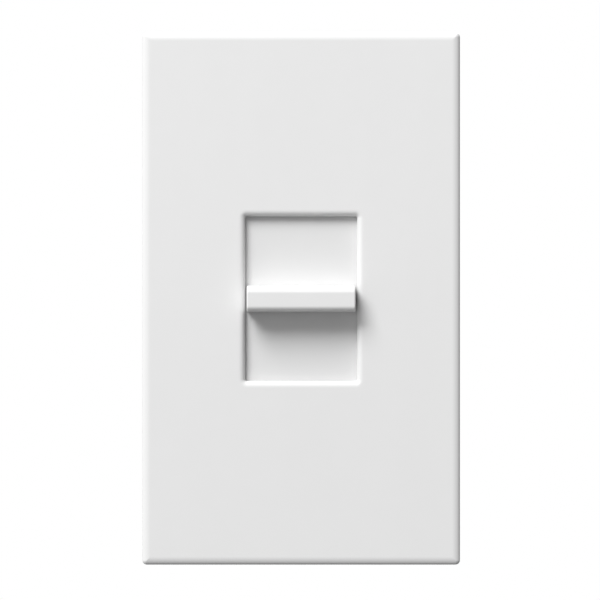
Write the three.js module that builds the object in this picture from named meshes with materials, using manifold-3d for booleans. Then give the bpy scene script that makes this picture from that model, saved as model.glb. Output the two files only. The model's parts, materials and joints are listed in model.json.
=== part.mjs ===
// A slide dimmer for a single-gang wall box, in millimetres.
// +Z is up and the front faces -Y. The wall's surface is the plane y = 0, and the origin is the
// middle of the faceplate's outline on it. Every range below is written [low, high].

import Module from 'manifold-3d';
import * as THREE from 'three';
import { mergeVertices } from 'three/addons/utils/BufferGeometryUtils.js';

const wasm = await Module();
wasm.setup();

// Clearances: GAP between pieces that move past each other, FIT between pieces fixed together.
const GAP = 0.3;
const FIT = 0.1;

// Faceplate and its window
const PLATE_WIDTH = 69.85;
const PLATE_HEIGHT = 117;
const PLATE_DEPTH = 7.6;
const PLATE_CORNER = 1;
const PLATE_EDGE = 0.9;
const PLATE_WALL = 2;
const PLATE_FRONT_WALL = 1.7;
const WINDOW_FRONT = { width: 27.6, height: 38.9, radius: 0.5 };
const WINDOW_BACK = { width: 24.6, height: 36.2, radius: 0.35 };

// Slider: its full travel is TRAVEL, and it is drawn at the middle of it.
const TRAVEL = 29;
const KNOB_WIDTH = 23.8;
const KNOB_HEIGHT = 5.7;
const KNOB_EDGE = 1.25;
const KNOB_END_BEVEL = 0.35;
const KNOB_PROUD = 4.5;
const STEM = { width: 4.4, height: 4.4, back: 0.8 };
const LEVER = { width: 1.2, height: 2.4 };
const SHUTTER = { width: 25.6, height: 67, thickness: 1 };
const STEM_SLOT = { width: 6, height: 37, radius: 1.5 };

// Yoke: its ears lie on the wall, and its middle is thinner at the back.
const YOKE_FRONT = -1.5;
const YOKE_MIDDLE_BACK = -0.2;
const YOKE_WIDTH = 57;
const YOKE_MIDDLE_HEIGHT = 72;
const YOKE_HEIGHT = 104.4;
const EAR_WIDTH = 28;
const EAR_ROOT = 38;
const FIN_SCORE = { x: 24, width: 0.8, depth: 0.5 };
const YOKE_CORNER = 2;
const EAR_CORNER = 3;
const MOUNTING_SCREW_Z = 41.65;
const MOUNTING_SLOT = { width: 7.6, height: 4.2, radius: 2 };
const ADAPTER_SCREW_Z = 48.4;
const ANCHOR_HOLE = { x: 9.5, radius: 1.3 };

// Radii: a clearance hole for a large screw, and one for a small screw
const LARGE_HOLE = 1.9;
const SMALL_HOLE = 1.6;

// Screws, their threads as plain cylinders, and the fibre washer that keeps a loose one
const SCREW_SLOT = 0.8;
const MOUNTING_SCREW = { radius: 1.7, headRadius: 3.1, headHeight: 1.6, tip: 22 };
const HOUSING_SCREW = { radius: 1.3, headRadius: 2.4, headHeight: 1.6 };
const TRIAC_SCREW = { radius: 1.35, headRadius: 2.5, headHeight: 1.5 };
const ADAPTER_SCREW = { radius: 1.6, headRadius: 2.5, headHeight: 1, tip: 3.3 };
const RETAINER = { side: 9, corner: 2, y: [2.6, 3.4] };

// Slider frame
const FRAME = { width: 32, height: 74, front: -4.3, rail: 1.9, corner: 2 };
const STAKE = { x: 11, z: 31, radius: 1.2 };

// Adapter that the faceplate snaps onto
const ADAPTER = { width: 64, height: 111, front: -4.4, rim: 1.8, corner: 2 };
const ADAPTER_WEB = [-3.1, -1.6];
const ADAPTER_WINDOW = { width: 50, height: 88, radius: 3 };
const ADAPTER_HEAD_HOLE = 3.5;
const PRY_NOTCH = { width: 12, height: 6 };

// Housing behind the wall's surface
const HOUSING = {
  width: 46,
  height: 70,
  front: 0.1,
  back: 32,
  wall: 1.8,
  corner: 2.5,
  backEdge: 1.2,
};
const FLANGE = { widthMore: 2, heightMore: 1.6, thickness: 1.5 };
const BOSS = { x: 19, z: 31, radius: 2.8, pocket: 2.7 };
const BOARD_POST_RADIUS = 1.4;
const GRIP_GROOVE = { pitch: 5, first: 11, last: 26, width: 1.4, depth: 0.5 };
const LABEL = { width: 30, height: 32, radius: 1.5, z: 8, depth: 0.4 };
const STRIP_GAUGE = { width: 16, height: 3, radius: 1.4, z: -19, depth: 0.8 };
const TERMINAL_OPENING = 9.2;
const SHEET = { front: 0.2, back: 0.5 };

// Circuit board, in the housing
const BOARD = { left: -20.5, right: 10.5, height: 56, front: 14, back: 15.6 };

// Slide potentiometer, on the front of the board
const POT = { width: 10.4, height: 48, front: 6.6, back: 13.9, wall: 0.8 };
const CARRIAGE = { width: 8, height: 9, y: [POT.front + 1.6, POT.front + 3.8] };

// Slide-to-off switch
const SWITCH_ARM = { left: -2.4, right: 10.8, y: [1.4, 3.4], height: 5.2 };
const RAIL = { front: 4.4, z: [-8, 24], thickness: 0.8 };
const LINE_RAIL_X = 7.4;
const LOAD_RAIL_X = 9.6;

// Screw terminals
const TERMINAL_Z = 12;
const TERMINAL_Y = 11;
const TERMINAL_FACE_X = 16.4;
const TERMINAL_THREAD = 1.9;
const TERMINAL_PLATE = { width: 9.2, thickness: 1.4, footLeft: 7 };
const TERMINAL_HEAD = { radius: 2.9, y: [2, 4.4], slot: 1.1 };
const CLAMP_SIDE = 8;
const CLAMP_THICKNESS = 1.4;
const GROUND = { x: -10, y: 6.5, face: -37.8, back: -36.5, reach: 10.5 };

// Triac, on the back of the yoke, and trimmer, reached through a hole in the yoke
const TRIAC = { x: -13, caseZ: [4, 13], tabZ: [13, 19.4], front: 0.2, width: 10, depth: 4.4, tab: 1.3 };
const TRIAC_LEG = { width: 0.8, pitch: 2.54, length: 5 };
const TRIAC_SCREW_Z = 16.2;
const TRIMMER = { x: -17.9, z: -20, width: 5.2, height: 5.6, front: 7 };
const TRIMMER_SHAFT = { front: -0.9, foot: 5.8, radius: 1.4, footRadius: 2.2 };

// Behind the board: the choke's ring, of an oval section about a middle circle, and the capacitors
const CHOKE = { x: -9.5, y: 21.5, z: 14, radius: 6.2, radial: 2.2, axial: 3.6 };
const CHOKE_WIRE = { radius: 0.42, turns: 12 };
const FILTER_CAPACITOR = { width: 17, height: 11, radius: 1.2, x: CHOKE.x, z: -13, depth: 12.5 };
const TIMING_CAPACITOR = { width: 3, height: 7, radius: 1.4, x: 4.5, z: 14, depth: 7.4 };
const LEAD_RADIUS = 0.35;

// Steps in a corner's arc, of two segments each, and segments round a whole screw or rod
const CORNER_STEPS = 2;
const ROUND_STEPS = 16;

// Planes that follow from the stack of pieces in front of the yoke
const SHUTTER_BACK = FRAME.front - GAP;
const SHUTTER_FRONT = SHUTTER_BACK - SHUTTER.thickness;
const PLATE_INSIDE = PLATE_FRONT_WALL - PLATE_DEPTH;
const KNOB_TIP = -PLATE_DEPTH - KNOB_PROUD;

const FINISHES = {
  whitePlastic: { color: 0xf0f0ee, roughness: 0.42, metalness: 0 },
  innerPlastic: { color: 0xe6e6e2, roughness: 0.5, metalness: 0 },
  blackPlastic: { color: 0x26262a, roughness: 0.6, metalness: 0 },
  aluminium: { color: 0xb9bcc0, roughness: 0.4, metalness: 1 },
  steel: { color: 0xa8a9ac, roughness: 0.35, metalness: 1 },
  brass: { color: 0xc9a24c, roughness: 0.35, metalness: 1 },
  copper: { color: 0xb8693d, roughness: 0.4, metalness: 1 },
  greenSteel: { color: 0x2f7d46, roughness: 0.4, metalness: 0.6 },
  fibre: { color: 0x8a6b3f, roughness: 0.8, metalness: 0 },
  board: { color: 0xb9905a, roughness: 0.6, metalness: 0 },
  ferrite: { color: 0x4b5a52, roughness: 0.7, metalness: 0 },
  yellowFilm: { color: 0xd9b23a, roughness: 0.45, metalness: 0 },
  component: { color: 0x9c6d4c, roughness: 0.5, metalness: 0 },
};

// Solids

function toManifold(geometry) {
  const bare = geometry.clone();
  bare.deleteAttribute('normal');
  bare.deleteAttribute('uv');
  const merged = mergeVertices(bare, 1e-4);
  return new wasm.Manifold(new wasm.Mesh({
    numProp: 3,
    vertProperties: new Float32Array(merged.attributes.position.array),
    triVerts: new Uint32Array(merged.index.array),
  }));
}

function combine(base, { add = [], cut = [] }) {
  let solid = toManifold(base);
  for (const piece of add) {
    solid = solid.add(toManifold(piece));
  }
  for (const piece of cut) {
    solid = solid.subtract(toManifold(piece));
  }
  const mesh = solid.getMesh();
  const geometry = new THREE.BufferGeometry();
  geometry.setAttribute('position', new THREE.BufferAttribute(mesh.vertProperties, 3));
  geometry.setIndex(new THREE.BufferAttribute(mesh.triVerts, 1));
  geometry.computeVertexNormals();
  return geometry;
}

function middle(range) {
  return (range[0] + range[1]) / 2;
}

function around(centre, width) {
  return [centre - width / 2, centre + width / 2];
}

function block(x, y, z) {
  const geometry = new THREE.BoxGeometry(x[1] - x[0], y[1] - y[0], z[1] - z[0]);
  geometry.translate(middle(x), middle(y), middle(z));
  return geometry;
}

// A round rod along Y.
function rod(radius, y, x = 0, z = 0) {
  const geometry = new THREE.CylinderGeometry(radius, radius, y[1] - y[0], ROUND_STEPS);
  geometry.translate(x, middle(y), z);
  return geometry;
}

// A round solid about the Y axis, from pairs [radius, y] that run towards +Y.
function turned(profile) {
  const points = profile.map(([radius, y]) => new THREE.Vector2(radius, y));
  return new THREE.LatheGeometry(points, ROUND_STEPS);
}

function roundedRect({ width, height, radius, x = 0, z = 0 }) {
  const shape = new THREE.Shape();
  const right = x + width / 2 - radius;
  const left = x - width / 2 + radius;
  const top = z + height / 2 - radius;
  const bottom = z - height / 2 + radius;
  const quarter = Math.PI / 2;
  shape.absarc(right, top, radius, 0, quarter);
  shape.absarc(left, top, radius, quarter, 2 * quarter);
  shape.absarc(left, bottom, radius, 2 * quarter, 3 * quarter);
  shape.absarc(right, bottom, radius, 3 * quarter, 4 * quarter);
  shape.closePath();
  return shape;
}

// A plate of a given outline in XZ, between two planes along Y.
function slab(outline, y) {
  const options = { depth: y[1] - y[0], bevelEnabled: false, curveSegments: CORNER_STEPS };
  const geometry = new THREE.ExtrudeGeometry(outline, options);
  geometry.rotateX(Math.PI / 2);
  geometry.translate(0, y[1], 0);
  return geometry;
}

// A bar along X whose section is an outline in YZ. A bevel rounds its two ends.
function bar(outline, x, bevel = 0) {
  const geometry = new THREE.ExtrudeGeometry(outline, {
    depth: x[1] - x[0] - 2 * bevel,
    bevelEnabled: bevel > 0,
    bevelThickness: bevel,
    bevelSize: bevel,
    bevelOffset: -bevel,
    bevelSegments: 3,
    curveSegments: CORNER_STEPS,
  });
  const alongY = new THREE.Vector3(0, 1, 0);
  const alongZ = new THREE.Vector3(0, 0, 1);
  const alongX = new THREE.Vector3(1, 0, 0);
  geometry.applyMatrix4(new THREE.Matrix4().makeBasis(alongY, alongZ, alongX));
  geometry.translate(x[0] + bevel, 0, 0);
  return geometry;
}

// A closed skin over rounded rectangles stacked along Y, the front one first.
function loft(sections) {
  const positions = [];
  const faces = [];
  let count = 0;
  sections.forEach((section, level) => {
    const outline = roundedRect(section).getPoints(CORNER_STEPS).slice(0, -1);
    count = outline.length;
    for (const point of outline) {
      positions.push(point.x, section.y, point.y);
    }
    if (level === 0) {
      return;
    }
    const front = (level - 1) * count;
    const back = level * count;
    for (let i = 0; i < count; i += 1) {
      const next = (i + 1) % count;
      faces.push(front + i, back + i, back + next);
      faces.push(front + i, back + next, front + next);
    }
  });
  const last = (sections.length - 1) * count;
  for (let i = 1; i < count - 1; i += 1) {
    faces.push(0, i, i + 1);
    faces.push(last, last + i + 1, last + i);
  }
  const geometry = new THREE.BufferGeometry();
  geometry.setAttribute('position', new THREE.Float32BufferAttribute(positions, 3));
  geometry.setIndex(faces);
  geometry.computeVertexNormals();
  return geometry;
}

// The sections of a box between the planes y = round and y = sharp, with an arc of radius `edge`
// round its outline at the first of them.
function roundEndSections({ width, height, corner, edge, round, sharp }) {
  const steps = 4;
  const inwards = Math.sign(sharp - round);
  const sections = [];
  for (let i = 0; i <= steps; i += 1) {
    const angle = (i / steps) * (Math.PI / 2);
    const inset = edge * (1 - Math.sin(angle));
    sections.push({
      y: round + inwards * edge * (1 - Math.cos(angle)),
      width: width - 2 * inset,
      height: height - 2 * inset,
      radius: corner - inset,
    });
  }
  sections.push({ y: sharp, width, height, radius: corner });
  return inwards > 0 ? sections : sections.reverse();
}

// Faceplate

// The four sloped walls of the window, run on past both faces of the plate's front wall.
function windowFunnel() {
  const overrun = 0.5;
  const run = PLATE_FRONT_WALL;
  const widthSlope = (WINDOW_BACK.width - WINDOW_FRONT.width) / run;
  const heightSlope = (WINDOW_BACK.height - WINDOW_FRONT.height) / run;
  return loft([
    {
      y: -PLATE_DEPTH - overrun,
      width: WINDOW_FRONT.width - widthSlope * overrun,
      height: WINDOW_FRONT.height - heightSlope * overrun,
      radius: WINDOW_FRONT.radius,
    },
    {
      y: PLATE_INSIDE + overrun,
      width: WINDOW_BACK.width + widthSlope * overrun,
      height: WINDOW_BACK.height + heightSlope * overrun,
      radius: WINDOW_BACK.radius,
    },
  ]);
}

// Ribs inside the plate's walls, which grip the adapter's rim.
function gripRibs() {
  const thickness = (PLATE_WIDTH - ADAPTER.width) / 2 - PLATE_WALL - GAP;
  const length = 7;
  const y = [PLATE_INSIDE - FIT, -1];
  const wallX = PLATE_WIDTH / 2 - PLATE_WALL;
  const wallZ = PLATE_HEIGHT / 2 - PLATE_WALL;
  const ribs = [];
  for (const side of [-1, 1]) {
    const sideX = around(side * (wallX - thickness / 2 + FIT / 2), thickness + FIT);
    for (const z of [-32, 0, 32]) {
      ribs.push(block(sideX, y, around(z, length)));
    }
    const endZ = around(side * (wallZ - thickness / 2 + FIT / 2), thickness + FIT);
    for (const x of [-18, 18]) {
      ribs.push(block(around(x, length), y, endZ));
    }
  }
  return ribs;
}

function faceplate() {
  const shell = loft(roundEndSections({
    width: PLATE_WIDTH,
    height: PLATE_HEIGHT,
    corner: PLATE_CORNER,
    edge: PLATE_EDGE,
    round: -PLATE_DEPTH,
    sharp: 0,
  }));
  const cavity = slab(roundedRect({
    width: PLATE_WIDTH - 2 * PLATE_WALL,
    height: PLATE_HEIGHT - 2 * PLATE_WALL,
    radius: 0.6,
  }), [PLATE_INSIDE, 1]);
  const hollow = combine(shell, { cut: [cavity] });
  return combine(hollow, { add: gripRibs(), cut: [windowFunnel()] });
}

// Slider

function sliderKnob() {
  const profile = new THREE.Shape();
  const half = KNOB_HEIGHT / 2;
  const back = SHUTTER_FRONT - FIT;
  profile.moveTo(back, -half);
  profile.lineTo(back, half);
  profile.absarc(KNOB_TIP + KNOB_EDGE, half - KNOB_EDGE, KNOB_EDGE, Math.PI / 2, Math.PI);
  profile.absarc(KNOB_TIP + KNOB_EDGE, KNOB_EDGE - half, KNOB_EDGE, Math.PI, 1.5 * Math.PI);
  profile.closePath();
  const fin = bar(profile, around(0, KNOB_WIDTH), KNOB_END_BEVEL);
  const stem = block(around(0, STEM.width), [back - 1, STEM.back], around(0, STEM.height));
  const socketWidth = LEVER.width + 2 * GAP;
  const socketHeight = LEVER.height + 2 * GAP;
  const socket = block(
    around(0, socketWidth),
    [SHUTTER_BACK, STEM.back + 1],
    around(0, socketHeight),
  );
  return combine(fin, { add: [stem], cut: [socket] });
}

function dustShutter() {
  const panel = slab(
    roundedRect({ width: SHUTTER.width, height: SHUTTER.height, radius: 1.5 }),
    [SHUTTER_FRONT, SHUTTER_BACK],
  );
  const hole = block(
    around(0, STEM.width + 2 * GAP),
    [SHUTTER_FRONT - 1, SHUTTER_BACK + 1],
    around(0, STEM.height + 2 * GAP),
  );
  return combine(panel, { cut: [hole] });
}

function potLever() {
  return block(
    around(0, LEVER.width),
    [SHUTTER_BACK + GAP, CARRIAGE.y[1] - 0.4],
    around(0, LEVER.height),
  );
}

function leverHole(y) {
  return block(around(0, LEVER.width + 2 * FIT), y, around(0, LEVER.height + 2 * FIT));
}

function carriage() {
  const { width, height, y } = CARRIAGE;
  const body = block(around(0, width), y, around(0, height));
  return combine(body, { cut: [leverHole([y[0] - 1, y[1] - 0.3])] });
}

// A bronze strip under the carriage, bent towards the track.
function wiper() {
  const front = CARRIAGE.y[1] + FIT;
  const thickness = 0.3;
  const tip = { y: POT.back - 1.35, z: 6.4 };
  const strip = new THREE.Shape();
  strip.moveTo(front, -3.5);
  strip.lineTo(front + thickness, -3.5);
  strip.lineTo(front + thickness, 2.6);
  strip.lineTo(tip.y, tip.z);
  strip.lineTo(tip.y - thickness, tip.z + thickness);
  strip.lineTo(front, 2.9);
  strip.closePath();
  return bar(strip, around(0, 5.2));
}

function switchArm() {
  const { left, right, y, height } = SWITCH_ARM;
  const arm = block([left, right], y, around(0, height));
  return combine(arm, { cut: [leverHole([y[0] - 1, y[1] + 1])] });
}

// A sprung contact on the arm, which joins the two rails while the slider is above "off".
function switchBridge() {
  const front = SWITCH_ARM.y[1] + FIT;
  const strip = new THREE.Shape();
  strip.moveTo(front, -2.2);
  strip.lineTo(front + 0.25, -2.2);
  strip.quadraticCurveTo(front + 1, 0, front + 0.25, 2.2);
  strip.lineTo(front, 2.2);
  strip.closePath();
  return bar(strip, [LINE_RAIL_X - 0.9, LOAD_RAIL_X + 0.9]);
}

function switchRail() {
  return block(around(0, RAIL.thickness), [RAIL.front, BOARD.front - FIT], RAIL.z);
}

// Slide potentiometer

function potFrame() {
  const { width, height, front, back, wall } = POT;
  const outer = block(around(0, width), [front, back], around(0, height));
  const inner = block(
    around(0, width - 2 * wall),
    [front + wall, back + 1],
    around(0, height - 2 * wall),
  );
  const slot = slab(
    roundedRect({ width: LEVER.width + 4 * GAP, height: TRAVEL + 5, radius: 1.1 }),
    [front - 1, front + 2],
  );
  return combine(outer, { cut: [inner, slot] });
}

function potTrack() {
  const width = POT.width - 2 * POT.wall - 2 * FIT;
  const height = POT.height - 2 * POT.wall - 2 * FIT;
  return slab(roundedRect({ width, height, radius: 0.5 }), [POT.back - 1, POT.back]);
}

// Frame and yoke

function sliderFrame() {
  const back = YOKE_FRONT - FIT;
  const base = slab(
    roundedRect({ width: FRAME.width, height: FRAME.height, radius: FRAME.corner }),
    [FRAME.front, back],
  );
  const pieces = [];
  for (const side of [-1, 1]) {
    const inside = SHUTTER.width / 2 + GAP;
    const rail = block(
      around(side * (inside + FRAME.rail / 2), FRAME.rail),
      [SHUTTER_FRONT, FRAME.front + FIT],
      around(0, FRAME.height - 2),
    );
    pieces.push(rail);
    for (const end of [-1, 1]) {
      pieces.push(rod(STAKE.radius, [back - 0.5, 0.6], side * STAKE.x, end * STAKE.z));
    }
  }
  return combine(base, { add: pieces, cut: [stemSlot([FRAME.front - 1, back + 1])] });
}

function stemSlot(y) {
  return slab(roundedRect(STEM_SLOT), y);
}

// Grooves across which the side fins snap off, where dimmers stand side by side.
function finScores() {
  return [-1, 1].map((side) => block(
    around(side * FIN_SCORE.x, FIN_SCORE.width),
    [YOKE_FRONT - 1, YOKE_FRONT + FIN_SCORE.depth],
    around(0, YOKE_MIDDLE_HEIGHT + 1),
  ));
}

function yokeHoles() {
  const y = [YOKE_FRONT - 1, 1];
  const holes = [
    rod(LARGE_HOLE, y, TRIMMER.x, TRIMMER.z),
    rod(TRIAC_SCREW.radius + GAP, y, TRIAC.x, TRIAC_SCREW_Z),
    stemSlot(y),
  ];
  for (const end of [-1, 1]) {
    holes.push(slab(roundedRect({ ...MOUNTING_SLOT, z: end * MOUNTING_SCREW_Z }), y));
    holes.push(rod(LARGE_HOLE, y, 0, end * ADAPTER_SCREW_Z));
    for (const side of [-1, 1]) {
      holes.push(rod(ANCHOR_HOLE.radius, y, side * ANCHOR_HOLE.x, end * ADAPTER_SCREW_Z));
      holes.push(rod(SMALL_HOLE, y, side * BOSS.x, end * BOSS.z));
      holes.push(rod(STAKE.radius + GAP, y, side * STAKE.x, end * STAKE.z));
    }
  }
  return holes;
}

function yoke() {
  const sheet = [YOKE_FRONT, 0];
  const plate = slab(
    roundedRect({ width: YOKE_WIDTH, height: YOKE_MIDDLE_HEIGHT, radius: YOKE_CORNER }),
    sheet,
  );
  const ears = slab(
    roundedRect({ width: EAR_WIDTH, height: YOKE_HEIGHT, radius: EAR_CORNER }),
    sheet,
  );
  const groundTab = block(
    around(GROUND.x, CLAMP_SIDE),
    [YOKE_FRONT + 0.5, GROUND.reach],
    [GROUND.face, GROUND.back],
  );
  const relief = block(
    around(0, YOKE_WIDTH + 2),
    [YOKE_MIDDLE_BACK, 1],
    around(0, 2 * EAR_ROOT),
  );
  const tabHole = rod(TERMINAL_THREAD + GAP, [-4, 4]);
  tabHole.rotateX(Math.PI / 2);
  tabHole.translate(GROUND.x, GROUND.y, GROUND.face);
  const strap = combine(plate, { add: [ears], cut: [relief, ...finScores(), ...yokeHoles()] });
  return combine(strap, { add: [groundTab], cut: [tabHole] });
}

function plateAdapter() {
  const { width, height, front, rim } = ADAPTER;
  const outer = slab(roundedRect({ width, height, radius: ADAPTER.corner }), [front, 0]);
  const inside = { width: width - 2 * rim, height: height - 2 * rim, radius: 1 };
  const cuts = [
    slab(roundedRect(inside), [front - 1, ADAPTER_WEB[0]]),
    slab(roundedRect(inside), [ADAPTER_WEB[1], 1]),
    slab(roundedRect(ADAPTER_WINDOW), [front - 1, 1]),
  ];
  for (const end of [-1, 1]) {
    cuts.push(rod(ADAPTER_HEAD_HOLE, [front - 1, 1], 0, end * MOUNTING_SCREW_Z));
    cuts.push(block(
      around(0, PRY_NOTCH.width),
      [front - 1, ADAPTER_WEB[0]],
      around(end * height / 2, PRY_NOTCH.height),
    ));
    const sinkRadius = ADAPTER_SCREW.headRadius + GAP;
    const holeRadius = ADAPTER_SCREW.radius + GAP;
    const countersink = turned([
      [0, ADAPTER_WEB[0] - 0.2],
      [sinkRadius, ADAPTER_WEB[0] - 0.2],
      [sinkRadius, ADAPTER_WEB[0] + 0.2],
      [holeRadius, ADAPTER_WEB[0] + ADAPTER_SCREW.headHeight + GAP],
      [holeRadius, 1],
      [0, 1],
    ]);
    countersink.translate(0, 0, end * ADAPTER_SCREW_Z);
    cuts.push(countersink);
  }
  return combine(outer, { cut: cuts });
}

// Fasteners, each about the Y axis

function driveSlot(radius, y) {
  return block(around(0, 2 * radius), y, around(0, SCREW_SLOT));
}

function flatScrew() {
  const { radius, headRadius, headHeight, tip } = ADAPTER_SCREW;
  const front = ADAPTER_WEB[0];
  const screw = turned([
    [0, front],
    [headRadius, front],
    [headRadius, front + 0.2],
    [radius, front + headHeight],
    [radius, tip - 0.7],
    [radius - 0.5, tip],
    [0, tip],
  ]);
  return combine(screw, { cut: [driveSlot(headRadius + 1, [front - 1, front + 0.6])] });
}

// A pan-head screw whose head starts at `front` and whose tip reaches `tip`, along +Y.
function panScrew({ front, tip, radius, headRadius, headHeight }) {
  const under = front + headHeight;
  const screw = turned([
    [0, front],
    [headRadius * 0.7, front + headHeight * 0.06],
    [headRadius * 0.93, front + headHeight * 0.3],
    [headRadius, under - headHeight * 0.2],
    [headRadius, under],
    [radius, under],
    [radius, tip - radius * 0.6],
    [radius * 0.55, tip],
    [0, tip],
  ]);
  const slot = driveSlot(headRadius + 1, [front - 1, front + headHeight * 0.5]);
  return combine(screw, { cut: [slot] });
}

function screwRetainer() {
  const { side, corner, y } = RETAINER;
  const washer = slab(roundedRect({ width: side, height: side, radius: corner }), y);
  return combine(washer, { cut: [rod(LARGE_HOLE, [y[0] - 1, y[1] + 1])] });
}

// Housing

function housingBosses() {
  const bosses = [];
  for (const side of [-1, 1]) {
    for (const end of [-1, 1]) {
      const y = [0.4, HOUSING.back - HOUSING.wall + FIT];
      bosses.push(rod(BOSS.radius, y, side * BOSS.x, end * BOSS.z));
    }
  }
  return bosses;
}

// Posts on the housing's floor that the circuit board lies on.
function boardPosts() {
  const y = [BOARD.back + FIT, HOUSING.back - HOUSING.wall + FIT];
  const posts = [];
  for (const x of [BOARD.left + 3, BOARD.right - 2]) {
    for (const end of [-1, 1]) {
      posts.push(rod(BOARD_POST_RADIUS, y, x, end * (BOARD.height / 2 - 2)));
    }
  }
  return posts;
}

// Shallow grooves in the housing's sides, clear of the terminals on the right.
function gripGrooves() {
  const { pitch, first, last, width, depth } = GRIP_GROOVE;
  const y = [6, HOUSING.back - 5];
  const grooves = [];
  for (let z = first; z <= last; z += pitch) {
    const sides = z > TERMINAL_Z + CLAMP_SIDE ? [-1, 1] : [-1];
    for (const side of sides) {
      for (const end of [-1, 1]) {
        grooves.push(block(around(side * HOUSING.width / 2, 2 * depth), y, around(end * z, width)));
      }
    }
  }
  return grooves;
}

// Recesses in the housing's back: one for a rating label, and one as long as a wire is stripped.
function backRecesses() {
  const { back } = HOUSING;
  return [LABEL, STRIP_GAUGE].map((recess) => slab(roundedRect(recess), [back - recess.depth, back + 1]));
}

function backHousing() {
  const { width, height, front, back, wall, corner } = HOUSING;
  const outer = loft(roundEndSections({
    width,
    height,
    corner,
    edge: HOUSING.backEdge,
    round: back,
    sharp: front,
  }));
  const flange = slab(roundedRect({
    width: width + FLANGE.widthMore,
    height: height + FLANGE.heightMore,
    radius: corner,
  }), [front, front + FLANGE.thickness]);
  const inner = slab(roundedRect({
    width: width - 2 * wall,
    height: height - 2 * wall,
    radius: corner - wall,
  }), [front - 1, back - wall]);
  const cuts = [...gripGrooves(), ...backRecesses()];
  for (const side of [-1, 1]) {
    for (const end of [-1, 1]) {
      cuts.push(rod(SMALL_HOLE, [-1, back + 1], side * BOSS.x, end * BOSS.z));
      cuts.push(rod(BOSS.pocket, [back - wall, back + 1], side * BOSS.x, end * BOSS.z));
    }
    cuts.push(block(
      [width / 2 - wall - 1, width / 2 + 1],
      around(TERMINAL_Y, TERMINAL_OPENING),
      around(side * TERMINAL_Z, TERMINAL_OPENING),
    ));
  }
  const cup = combine(outer, { add: [flange], cut: [inner] });
  return combine(cup, { add: [...housingBosses(), ...boardPosts()], cut: cuts });
}

function insulationSheet() {
  const y = [SHEET.front, SHEET.back];
  const sheet = slab(roundedRect({
    width: HOUSING.width - 2 * HOUSING.wall - 1,
    height: BOARD.height,
    radius: 1,
  }), y);
  const through = [y[0] - 1, y[1] + 1];
  return combine(sheet, {
    cut: [
      stemSlot(through),
      block(around(TRIAC.x, TRIAC.width + 2), through, [TRIAC.caseZ[0] - 7, TRIAC.tabZ[1] + 1]),
      rod(LARGE_HOLE + FIT, through, TRIMMER.x, TRIMMER.z),
    ],
  });
}

// Circuit

function circuitBoard() {
  const { left, right, height, front, back } = BOARD;
  return block([left, right], [front, back], around(0, height));
}

// The case and its three legs, which bend back to the board.
function triacCase() {
  const { x, caseZ, front, width, depth } = TRIAC;
  const body = block(around(x, width), [front, front + depth], caseZ);
  const legY = around(front + 2, TRIAC_LEG.width);
  const bendZ = caseZ[0] - TRIAC_LEG.length;
  const legs = [];
  for (const pin of [-1, 0, 1]) {
    const legX = around(x + pin * TRIAC_LEG.pitch, TRIAC_LEG.width);
    legs.push(block(legX, legY, [bendZ, caseZ[0] + 0.5]));
    legs.push(block(legX, [legY[0], BOARD.front - FIT], around(bendZ, TRIAC_LEG.width)));
  }
  return combine(body, { add: legs });
}

function triacTab() {
  const { x, tabZ, front, width } = TRIAC;
  const tab = block(around(x, width), [front, front + TRIAC.tab], tabZ);
  return combine(tab, { cut: [rod(LARGE_HOLE, [front - 1, front + 2], x, TRIAC_SCREW_Z)] });
}

function triacPad() {
  const { x, caseZ, tabZ, width } = TRIAC;
  const y = [YOKE_MIDDLE_BACK + FIT, TRIAC.front - FIT];
  const pad = block(around(x, width + 1), y, [caseZ[0] - 0.5, tabZ[1] + 0.5]);
  return combine(pad, { cut: [rod(LARGE_HOLE, [y[0] - 1, y[1] + 1], x, TRIAC_SCREW_Z)] });
}

function chokeCore() {
  const ring = [];
  const steps = 12;
  for (let i = 0; i <= steps; i += 1) {
    const angle = (i / steps) * 2 * Math.PI;
    const radius = CHOKE.radius - CHOKE.radial * Math.cos(angle);
    ring.push(new THREE.Vector2(radius, -CHOKE.axial * Math.sin(angle)));
  }
  return new THREE.LatheGeometry(ring, 24);
}

// The wire's path: turns round the core's section while it goes most of the way round the ring.
class WindingPath extends THREE.Curve {
  constructor(turns, clearance) {
    super();
    this.turns = turns;
    this.clearance = clearance;
  }

  getPoint(t) {
    const round = t * 1.8 * Math.PI;
    const turn = t * this.turns * 2 * Math.PI;
    const radius = CHOKE.radius + (CHOKE.radial + this.clearance) * Math.cos(turn);
    const height = (CHOKE.axial + this.clearance) * Math.sin(turn);
    return new THREE.Vector3(radius * Math.cos(round), height, radius * Math.sin(round));
  }
}

function chokeWinding() {
  const { radius, turns } = CHOKE_WIRE;
  const section = new THREE.Shape();
  section.absarc(0, 0, radius, 0, 2 * Math.PI);
  return new THREE.ExtrudeGeometry(section, {
    steps: turns * 10,
    curveSegments: 3,
    extrudePath: new WindingPath(turns, radius + GAP),
  });
}

function boxedCapacitor(size) {
  const back = BOARD.back + FIT;
  return slab(roundedRect(size), [back, back + size.depth]);
}

// A body with a wire at each end, along Y.
function axialPart({ radius, length, wireLength }) {
  const end = length / 2;
  return turned([
    [0, -wireLength / 2],
    [LEAD_RADIUS, -wireLength / 2],
    [LEAD_RADIUS, -end],
    [radius * 0.8, -end],
    [radius, -end + 0.4],
    [radius, end - 0.4],
    [radius * 0.8, end],
    [LEAD_RADIUS, end],
    [LEAD_RADIUS, wireLength / 2],
    [0, wireLength / 2],
  ]);
}

function trimmerBody() {
  return block(
    around(TRIMMER.x, TRIMMER.width),
    [TRIMMER.front, BOARD.front - FIT],
    around(TRIMMER.z, TRIMMER.height),
  );
}

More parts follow.
